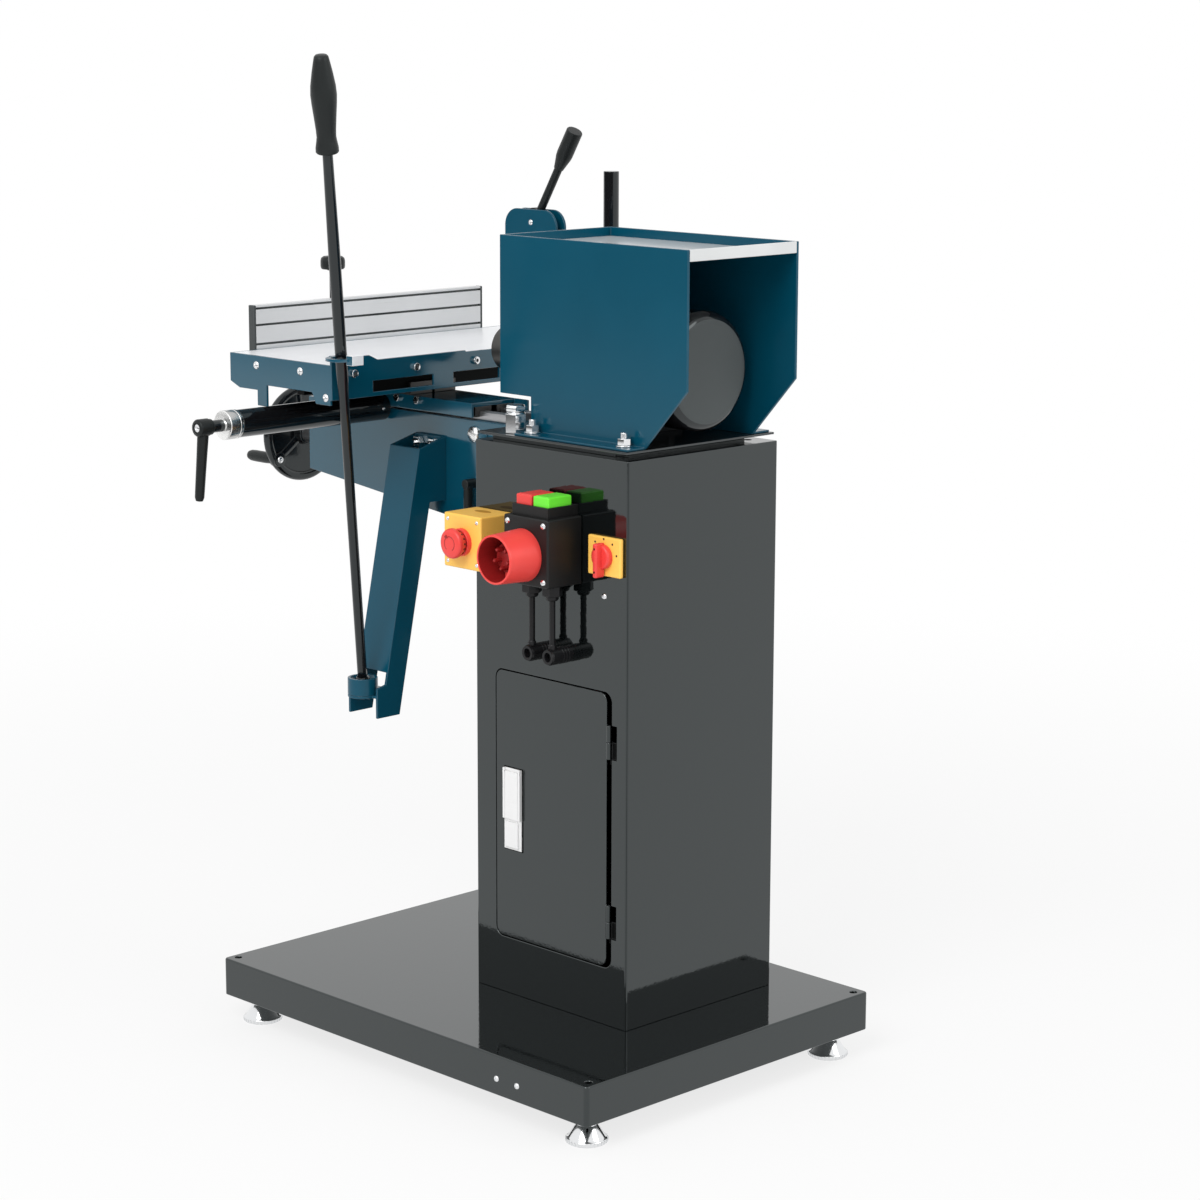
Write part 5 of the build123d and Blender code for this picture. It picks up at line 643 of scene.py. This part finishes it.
# Fence: an aluminium extrusion with three grooves in front, painted black inside as their shade, and a
# track behind, closed by dark moulded end caps. Its stop slides in the track and is locked by a round knob
# on a tall stem.
GROOVE_ZS = (990.5, 967.5, 941.0)
GROOVE_YS = (-276.0, -271.6)
GROOVE_HALF = 1.8
KNOB = [(0, 976.2), (5.0, 976.2), (5.0, 1031), (8.5, 1032), (9.5, 1033), (15.6, 1033.4), (17.0, 1035),
        (17.5, 1038), (17.5, 1045), (16.6, 1049), (13.6, 1051.4), (9.0, 1051.9), (0, 1052)]
fence_alloy = rolled("extruded_alloy", (0.66, 0.67, 0.68), rough=0.20, across=(6.0, 900.0, 900.0))
cap_moulding = lacquer("cap_moulding", (0.035, 0.038, 0.039), rough=0.42, peel=0.30)
fence = eased("fence", width=0.4)
# Faces inside the grooves get the black finish: painted shade.
for face in fence.faces:
    spot = face.calc_center_median()
    deep = GROOVE_YS[0] < spot.y < GROOVE_YS[1]
    face.material_index = 1 if deep and any(abs(spot.z - z) < GROOVE_HALF for z in GROOVE_ZS) else 0
fit(fence, "fence_extrusion", [fence_alloy, black_plate_and_shade], "table", "fence")
dress("fence_end_caps", "fence_caps", cap_moulding, "table", width=0.9)
dress("fence_stop", "stop_block_steel", steel, "stop_block", width=0.8)
knob_axis = axis_point("stop_knob_turn")
knob = bmesh.new()
spun(knob, KNOB, seat((knob_axis.x, knob_axis.y, 0)), steps=56)
fit(knob, "stop_knob_moulding", [black_moulding], "stop_knob", "fence_knob")

# Lever guide: a blue eye plate on the apron's raised corner that the control lever passes through,
# with a small bright block clipped to its rim.
CLIP_Y, PLATE_END_Y = -11.8, -7.3
PLATE_Z, PLATE_HALF = 945.0, 2.4
guide = eased("lever_guide", width=0.5)
for face in guide.faces:
    spot = face.calc_center_median()
    beside_plate = spot.y > PLATE_END_Y or abs(spot.z - PLATE_Z) > PLATE_HALF
    face.material_index = 1 if spot.y > CLIP_Y and beside_plate else 0
fit(guide, "eye_plate", [arm_blue, table_alloy], "table", "lever_guide")

# Work clamp: a black post in a block on the rear apron, a collar that sets the height, and a blue arm
# whose two cheeks carry an eccentric lever over a steel plunger with a broad pad.
CAM = [(0, -6.1), (14.2, -6.1), (15, -5.3), (15, 5.3), (14.2, 6.1), (0, 6.1)]
CAM_THROW = 6.0
CAM_PIN = [(0, -11.0), (2.6, -11.0), (3.9, -10.0), (3.9, 10.0), (2.6, 11.0), (0, 11.0)]
CAM_BAR = [(0, 0), (6.0, 0), (6.0, 92.0), (7.2, 92.8), (8.0, 97.0), (9.8, 105.0), (11.4, 112.0),
           (12.0, 118.0), (12.0, 155.6), (11.2, 156.8), (0, 157.0)]
CAM_RAISED = radians(58.5)
dress("clamp_post", "post_and_block", black_enamel, "table", width=0.9)
dress("clamp_collar", "height_collar", black_enamel, "collar", width=0.8)
dress("clamp_arm", "clamp_head", blue_lacquer, "clamp", width=0.9)
pivot = axis_point("cam_turn")
cam = bmesh.new()
spun(cam, CAM, seat(pivot + CAM_THROW * Vector(ALONG_Z), ALONG_X))
spun(cam, CAM_BAR, seat(pivot, (0, cos(CAM_RAISED), sin(CAM_RAISED))))
spun(cam, CAM_PIN, seat(pivot, ALONG_X), paint=1)
fit(cam, "cam_lever", [black_moulding, chrome], "cam", "clamp_lever")
dress("clamp_pad", "plunger_and_pad", steel, "pad", width=0.8)

# Lever bracket: a leaning channel of blue sheet bolted to the arm's side. Its shelf carries the ball
# socket, a turned cup in which the lever's ball tips.
dress("lever_bracket", "bracket_channel", blue_lacquer, "arm", width=0.9)
dress("ball_socket", "socket_cup", blue_lacquer, "arm", width=0.8)
dress("ball_cup", "cup_liner", black_moulding, "cup", width=0.4)

# Control lever: a black enamelled rod, thickest where it runs in the guide, with a ball at its foot
# and a smooth moulded grip pressed on its top.
GUIDE_EYE = Vector((206.0, -29.0, 957.0))
GRIP_FOOT, ROD_TOP, GRIP_TOP = 760.0, 823.0, 888.0
ROD = [(0, -11.0), (4.2, -10.2), (7.8, -7.8), (10.2, -4.2), (11.0, 0), (10.2, 4.2), (8.4, 7.1), (6.7, 9.2),
       (6.7, 425.0), (8.0, 457.0), (8.0, 617.0), (6.7, GRIP_FOOT), (6.7, ROD_TOP), (0, ROD_TOP)]
HAND_GRIP = [(6.7, GRIP_FOOT), (13.8, GRIP_FOOT), (15.0, 761.4), (14.9, 767.0), (13.5, 775.0), (12.6, 781.0),
             (13.0, 790.0), (14.6, 808.0), (16.2, 824.0), (17.0, 836.0), (16.3, 848.0), (13.4, 866.0),
             (10.4, 881.0), (9.3, 885.6), (7.6, 887.6), (0, GRIP_TOP)]
grip_moulding = lacquer("grip_moulding", (0.010, 0.011, 0.011), rough=0.40, peel=0.22, level=0.25)
ball = axis_point("lever_tilt")
lever_up = (GUIDE_EYE - ball).normalized()
rod = bmesh.new()
spun(rod, ROD, seat(ball, lever_up))
fit(rod, "lever_rod", [black_enamel], "lever", "control_lever")
hand = bmesh.new()
spun(hand, HAND_GRIP, seat(ball, lever_up), steps=56)
fit(hand, "lever_hand_grip", [grip_moulding], "lever", "lever_grip")

# Switch box: a black moulded case screwed to the column, with a raised crown of thin walls that frames
# the two push buttons.
CASE_LOW, CASE_HIGH = (FACE_X, 221.5, 674.0), (CASE_X, 303.5, 763.0)
CROWN_ZS = (762.0, 777.0)
CROWN_WALL_XS = ((FACE_X, 92.6), (135.4, 139.0))
CROWN_BAR_XS = (92.0, 136.0)
CROWN_BAR_YS = ((229.5, 232.1), (261.4, 263.6), (292.9, 295.5))
CROWN_EDGE = 0.7


def moulded(name, colour, rough, grain, level=0.5):
    """Moulded plastic: spark-eroded grain and faint flow marks."""
    material, shader, place = new_finish(name, {"IOR": 1.48, "Specular IOR Level": level})
    flow = speckle(place, scale=30.0, detail=3.0)
    spark = speckle(place, scale=1500.0)
    tinted(flow, shade(colour, 0.92), shade(colour, 1.08)).into(shader, "Base Color")
    (rough + 0.08 * flow + 0.10 * spark).into(shader, "Roughness")
    raised(spark, grain, depth=0.00005).into(shader, "Normal")
    return material


case_black = moulded("case_moulding", (0.008, 0.008, 0.008), rough=0.34, grain=0.4, level=0.32)
case = bmesh.new()
slab(case, CASE_LOW, CASE_HIGH, ease=2.6)
for near, far in CROWN_WALL_XS:
    slab(case, (near, CROWN_BAR_YS[0][0], CROWN_ZS[0]), (far, CROWN_BAR_YS[-1][1], CROWN_ZS[1]), CROWN_EDGE)
for near, far in CROWN_BAR_YS:
    slab(case, (CROWN_BAR_XS[0], near, CROWN_ZS[0]), (CROWN_BAR_XS[1], far, CROWN_ZS[1]), CROWN_EDGE)
fit(case, "switch_case", [case_black], "frame", "switch_box")

# Push buttons: a red and a green moulded key, each with a raised pad on top, that slide down into the
# crown.
KEY_XS, KEY_ZS, KEY_W = (93.0, 135.0), (765.4, 789.4), 28.5
PAD_ZS, PAD_INSET = (786.0, 790.0), 2.4
red = moulded("red_moulding", (0.80, 0.056, 0.049), rough=0.24, grain=0.15)
green = moulded("green_moulding", (0.16, 0.86, 0.042), rough=0.24, grain=0.15)
for name, slot, finish, y in (("stop", "red_plastic", red, 232.5), ("start", "green_plastic", green, 264.0)):
    key = bmesh.new()
    slab(key, (KEY_XS[0], y, KEY_ZS[0]), (KEY_XS[1], y + KEY_W, KEY_ZS[1]), ease=2.0, segments=4)
    slab(key, (KEY_XS[0] + PAD_INSET, y + PAD_INSET, PAD_ZS[0]),
         (KEY_XS[1] - PAD_INSET, y + KEY_W - PAD_INSET, PAD_ZS[1]), ease=0.9)
    fit(key, name + "_key", [finish], name, name + "_button")

# Appliance inlet: a red moulded shroud, slightly tapered, on the box front, round a darker carrier with
# five pins and a keyway. The shroud's inside wall is painted the same darker red as its shade.
INLET = Vector((CASE_X, 258.5, 713.5))
SHROUD = [(20.0, 0), (34.2, 0), (34.5, 0.6), (33.5, 20.0), (32.2, 49.0), (32.0, 51.4), (31.4, 52.0),
          (29.6, 52.0), (29.0, 51.2), (28.9, 20.0), (28.8, 3.2), (20.0, 3.0), (20.0, 0)]
SHROUD_BORE, SHROUD_LIP = 29.0, 50.0
CARRIER = [(0, 2.8), (20, 2.8), (20, 27.2), (19.2, 28), (0, 28)]
KEYWAY_LOW, KEYWAY_HIGH = Vector((3.0, -3.0, -28.9)), Vector((29.0, 3.0, -19.0))
INLET_PINS = 5
INLET_PIN = [(0, 0), (3, 0), (3, 10.4), (1.6, 12.4), (0, 12.4)]
INLET_PIN_X, INLET_PIN_R = 27.5, 13.0
red_inlet = moulded("inlet_moulding", (0.85, 0.064, 0.054), rough=0.28, grain=0.2)
dark_red_and_painted_shade = moulded("dark_red_and_painted_shade", (0.32, 0.012, 0.012), rough=0.34, grain=0.2)
inlet = bmesh.new()
spun(inlet, SHROUD, seat(INLET, ALONG_X), steps=72)
# Inner wall of the shroud gets the darker red: painted shade.
for face in inlet.faces:
    spot = face.calc_center_median() - INLET
    face.material_index = 1 if spot.yz.length < SHROUD_BORE and spot.x < SHROUD_LIP else 0
spun(inlet, CARRIER, seat(INLET, ALONG_X), paint=1)
slab(inlet, INLET + KEYWAY_LOW, INLET + KEYWAY_HIGH, ease=0.6)
for i in range(INLET_PINS):
    turn = i * tau / INLET_PINS - tau / 4
    place = INLET + Vector((INLET_PIN_X, INLET_PIN_R * cos(turn), INLET_PIN_R * sin(turn)))
    spun(inlet, INLET_PIN, seat(place, ALONG_X), paint=1, steps=20)
fit(inlet, "inlet_shroud", [red_inlet, dark_red_and_painted_shade], "frame", "inlet_socket")

# Switch cables: two short leads from hexagon glands under the box down into elbow entries on the
# column, held at both ends.
CABLE_X, CABLE_YS = 113.0, (239.0, 277.0)
GLAND_Z, GLAND_NUT_Z, ELBOW_Z = 652.0, 658.0, 578.0
GLAND = [(4.1, 0), (6.4, 0), (7.4, 0.9), (8.4, 2.4), (8.4, 6.4), (4.1, 6.4), (4.1, 0)]
CABLE = [(0, 0), (4, 0), (4, 90), (0, 90)]
BOOT = [(4, 8), (5.4, 8), (5.4, 14), (4.4, 16), (4, 16), (4, 8)]
ELBOW = [(0, 0), (11, 0), (11, 33.4), (10.2, 34.6), (9.6, 37), (6.4, 37), (5.6, 36), (5.4, 29), (0, 29)]
ELBOW_RIB = [(10.6, 0), (11.3, 0.5), (11.3, 1.9), (10.6, 2.4), (10.6, 0)]
ELBOW_RIB_XS = (90.0, 95.0, 100.0)
rubber = moulded("cable_sheath", (0.008, 0.008, 0.009), rough=0.22, grain=0.2, level=0.28)
cables = bmesh.new()
for y in CABLE_YS:
    hexed(cables, seat((CABLE_X, y, GLAND_NUT_Z)), flats=23.0, height=16.0, ease=1.2)
    spun(cables, GLAND, seat((CABLE_X, y, GLAND_Z)))
    spun(cables, CABLE, seat((CABLE_X, y, ELBOW_Z)), steps=24)
    spun(cables, BOOT, seat((CABLE_X, y, ELBOW_Z)), steps=24)
    spun(cables, ELBOW, seat((FACE_X, y, ELBOW_Z), ALONG_X))
    for x in ELBOW_RIB_XS:
        spun(cables, ELBOW_RIB, seat((x, y, ELBOW_Z), ALONG_X))
fit(cables, "held_cables", [rubber], "frame", "switch_cables")

# Emergency stop: a yellow moulded box with a knock-out in its top and a red collar in front. The red
# mushroom head slides in it, with dots round its neck painted dark as the shade of holes, and an arrow
# pressed into its face.
ESTOP = Vector((ESTOP_X, 140.0, 715.0))
ESTOP_HALF = 36.0
KNOCKOUT = [(0, 0), (11, 0), (11, 0.35), (0, 0.35)]
KNOCKOUT_PLACE, KNOCKOUT_STRETCH = (108.0, 140.0, 750.85), (0.62, 1.3, 1.0, 1.0)
HEAD_COLLAR = [(16.2, 0), (18.4, 0), (18.4, 5.6), (17.6, 6.4), (16.2, 6.4), (16.2, 0)]
MUSHROOM = [(0, -12), (11.9, -12), (11.9, 7.0), (15.0, 7.2), (15.6, 7.8), (15.6, 13.0), (16.2, 13.6),
            (19.2, 14.2), (20.0, 15.2), (20.0, 18.6), (19.3, 20.6), (17.6, 21.9), (14.4, 22.6), (0, 22.9)]
NECK_DOTS = 14
NECK_DOT = [(0, 0), (1.4, 0), (1.4, 0.5), (0, 0.5)]
NECK_DOT_X, NECK_DOT_R = 9.4, 15.2
ARROW_X, ARROW_R, ARROW_BEAD_R = 22.4, 9.5, 0.7
ARROW_SWEEP, ARROW_TURN, ARROW_TIP_TURN = radians(290), 0.6, 2.1
ARROW_TIP_WAY = (0, 0.85, -0.5)
yellow = moulded("yellow_moulding", (1.0, 0.58, 0.11), rough=0.30, grain=0.25)
yellow_press = moulded("pressed_yellow", (0.50, 0.24, 0.02), rough=0.36, grain=0.25)
dark_dots_and_painted_hole_shade = moulded("dark_dots_and_painted_hole_shade", (0.02, 0.016, 0.010), rough=0.5, grain=0.2)
box = bmesh.new()
slab(box, (FACE_X, ESTOP.y - ESTOP_HALF, ESTOP.z - ESTOP_HALF),
     (ESTOP_X, ESTOP.y + ESTOP_HALF, ESTOP.z + ESTOP_HALF), ease=2.6)
spun(box, KNOCKOUT, seat(KNOCKOUT_PLACE) @ Matrix.Diagonal(KNOCKOUT_STRETCH), paint=1)
spun(box, HEAD_COLLAR, seat(ESTOP, ALONG_X), paint=2)
fit(box, "estop_case", [yellow, yellow_press, red], "frame", "estop_box")
head = bmesh.new()
spun(head, MUSHROOM, seat(ESTOP, ALONG_X), steps=64)
# Dark discs round the neck: painted shade of holes.
for i in range(NECK_DOTS):
    out = Vector((0, cos(i * tau / NECK_DOTS), sin(i * tau / NECK_DOTS)))
    place = ESTOP + NECK_DOT_X * Vector(ALONG_X) + NECK_DOT_R * out
    spun(head, NECK_DOT, seat(place, out), paint=1, steps=12)
arrow_middle = ESTOP + ARROW_X * Vector(ALONG_X)
arrow = bmesh.new()
bmesh.ops.create_circle(arrow, segments=8, radius=ARROW_BEAD_R,
                        matrix=Matrix.Translation((ARROW_R, 0, 0)) @ Matrix.Rotation(radians(90), 4, "X"))
bmesh.ops.spin(arrow, geom=arrow.verts[:] + arrow.edges[:], cent=(0, 0, 0), axis=ALONG_Z,
               angle=ARROW_SWEEP, steps=40)
joined(head, arrow, seat(arrow_middle, ALONG_X, ARROW_TURN), paint=2)
tip = bmesh.new()
bmesh.ops.create_cone(tip, cap_ends=True, segments=12, radius1=2.6, radius2=0.2, depth=5.0)
tip_place = arrow_middle + ARROW_R * Vector((0, cos(ARROW_TIP_TURN), sin(ARROW_TIP_TURN)))
joined(head, tip, seat(tip_place, ARROW_TIP_WAY), paint=2)
fit(head, "mushroom_head", [red, dark_dots_and_painted_hole_shade, dark_red_and_painted_shade], "estop", "estop_button")

# Rotary switch: a yellow plate with plain dark dots, and on it a red hub with a straight bar grip
# across it that has a dot near each end.
MASK_HALF_Y, MASK_HALF_Z = 29.5, 25.5
MASK_DOTS = ((0.0, 22.5), (15.5, 17.5), (23.0, 3.5), (-15.5, 17.5))
MASK_DOT = [(0, -0.1), (1.5, -0.1), (1.5, 0.15), (0, 0.15)]
TURN_HUB = [(0, -5), (5.8, -5), (5.8, 0.2), (16, 0.2), (16, 5.6), (15, 7.4), (13, 8.0), (11.6, 7.4), (0, 7.2)]
TURN_HUB_LIFT = 0.1
BAR_LOW, BAR_HIGH = Vector((1.0, -3.5, -26.0)), Vector((17.3, 3.5, 18.5))
BAR_DOT = [(0, 0), (1.5, 0), (1.5, 0.3), (0, 0.3)]
BAR_DOT_X, BAR_DOT_ZS = 17.0, (-18.5, 11.5)
rotary = axis_point("rotary_turn")
mask = bmesh.new()
slab(mask, (FACE_X, rotary.y - MASK_HALF_Y, rotary.z - MASK_HALF_Z),
     (rotary.x, rotary.y + MASK_HALF_Y, rotary.z + MASK_HALF_Z), ease=2.4)
for y, z in MASK_DOTS:
    spun(mask, MASK_DOT, seat(rotary + Vector((0, y, z)), ALONG_X), paint=1, steps=16)
fit(mask, "rotary_mask", [yellow, dark_dots_and_painted_hole_shade], "frame", "rotary_plate")
turn_grip = bmesh.new()
spun(turn_grip, TURN_HUB, seat(rotary + TURN_HUB_LIFT * Vector(ALONG_X), ALONG_X), steps=56)
slab(turn_grip, rotary + BAR_LOW, rotary + BAR_HIGH, ease=2.4, segments=4)
for z in BAR_DOT_ZS:
    spun(turn_grip, BAR_DOT, seat(rotary + Vector((BAR_DOT_X, 0, z)), ALONG_X), paint=1, steps=16)
fit(turn_grip, "rotary_grip", [red, dark_dots_and_painted_hole_shade], "rotary", "rotary_knob")

# Floor: plain pale studio floor that keeps the shadow. It is white to the camera and in reflections,
# and in these it ends some metres out on the door's side, so that tall faces keep their own colour.
FLOOR_R = 60.0
FLOOR_GREY = (0.82, 0.82, 0.82, 1.0)
WHITE, BLACK = (1, 1, 1, 1), (0, 0, 0, 1)
SHADOW_ROOM = {"From Min": 0.9, "From Max": 3.2, "To Min": 0.78, "To Max": 1.0}
RIGHT_END = {"From Min": 4.8, "From Max": 6.6, "To Min": 0.0, "To Max": 0.95}
floor_form = bmesh.new()
bmesh.ops.create_circle(floor_form, cap_ends=True, segments=96, radius=FLOOR_R)
floor_mesh = bpy.data.meshes.new("floor")
floor_form.to_mesh(floor_mesh)
floor_form.free()
floor = bpy.data.objects.new("floor", floor_mesh)
bpy.context.scene.collection.objects.link(floor)


def seen(rays):
    """One where a ray comes from the camera, a reflection or through glass."""
    camera_ray, glossy, through = [Wire(rays.outputs[name]) for name in
                                   ("Is Camera Ray", "Is Glossy Ray", "Is Transmission Ray")]
    return camera_ray.maths("MINIMUM", camera_ray + glossy + through, 1.0)


def smooth_step(value, limits):
    """Rise of a value from one limit to the other, soft at both ends."""
    return value.node("ShaderNodeMapRange", {"interpolation_type": "SMOOTHSTEP"}, {"Value": value, **limits})


floor_paint, floor_shader, ground = new_finish("floor_paint", {"Base Color": FLOOR_GREY, "Roughness": 0.9,
                                                               "Specular IOR Level": 0.0})
tree = floor_paint.node_tree
away = ground.node("ShaderNodeVectorMath", {"operation": "LENGTH"}, {0: ground}, "Value")
along = ground.node("ShaderNodeSeparateXYZ", {}, {"Vector": ground}, "X")
rays = tree.nodes.new("ShaderNodeLightPath")
dusk = smooth_step(along, RIGHT_END) * Wire(rays.outputs["Is Glossy Ray"])
glow = ground.node("ShaderNodeEmission", {}, {"Color": tinted(dusk, WHITE, BLACK), "Strength": 1.0})
mix = ground.node("ShaderNodeMixShader", {}, {0: seen(rays) * smooth_step(away, SHADOW_ROOM),
                                              1: Wire(floor_shader.outputs[0]), 2: glow})
mix.into(tree.nodes["Material Output"], "Surface")
floor_mesh.materials.append(floor_paint)

# Studio: an even pale surround, one large soft light over the camera's left shoulder and a weaker one
# from the right.
FILL = 0.75
LAMPS = (("key", (3.4, 1.2, 3.6), 2.6, 110.0), ("fill", (-1.4, 4.2, 2.6), 2.2, 40.0))
AIM = Vector((0, 0, 0.7))
world = bpy.data.worlds.new("studio")
bpy.context.scene.world = world
world.use_nodes = True
air = world.node_tree.nodes["Background"]
air.inputs["Color"].default_value = WHITE
(FILL + (1 - FILL) * seen(world.node_tree.nodes.new("ShaderNodeLightPath"))).into(air, "Strength")
for name, at, size, watts in LAMPS:
    lamp = bpy.data.lights.new(name, "AREA")
    lamp.size = size
    lamp.energy = watts
    holder = bpy.data.objects.new(name, lamp)
    holder.location = at
    holder.rotation_euler = (AIM - Vector(at)).to_track_quat("-Z", "Y").to_euler()
    bpy.context.scene.collection.objects.link(holder)

# Camera: behind and to the door's side of the machine, a little above its table, with a long lens.
lens = bpy.data.cameras.new("photo_view")
lens.lens = 91.86
lens.sensor_width = 36.0
lens.sensor_fit = "HORIZONTAL"
camera = bpy.data.objects.new("photo_view", lens)
camera.location = (2.7908, 3.0707, 1.41905)
camera.rotation_euler = (radians(78.8), radians(-0.18), radians(135.34))
bpy.context.scene.collection.objects.link(camera)
bpy.context.scene.camera = camera
bpy.context.scene.view_settings.view_transform = "Standard"
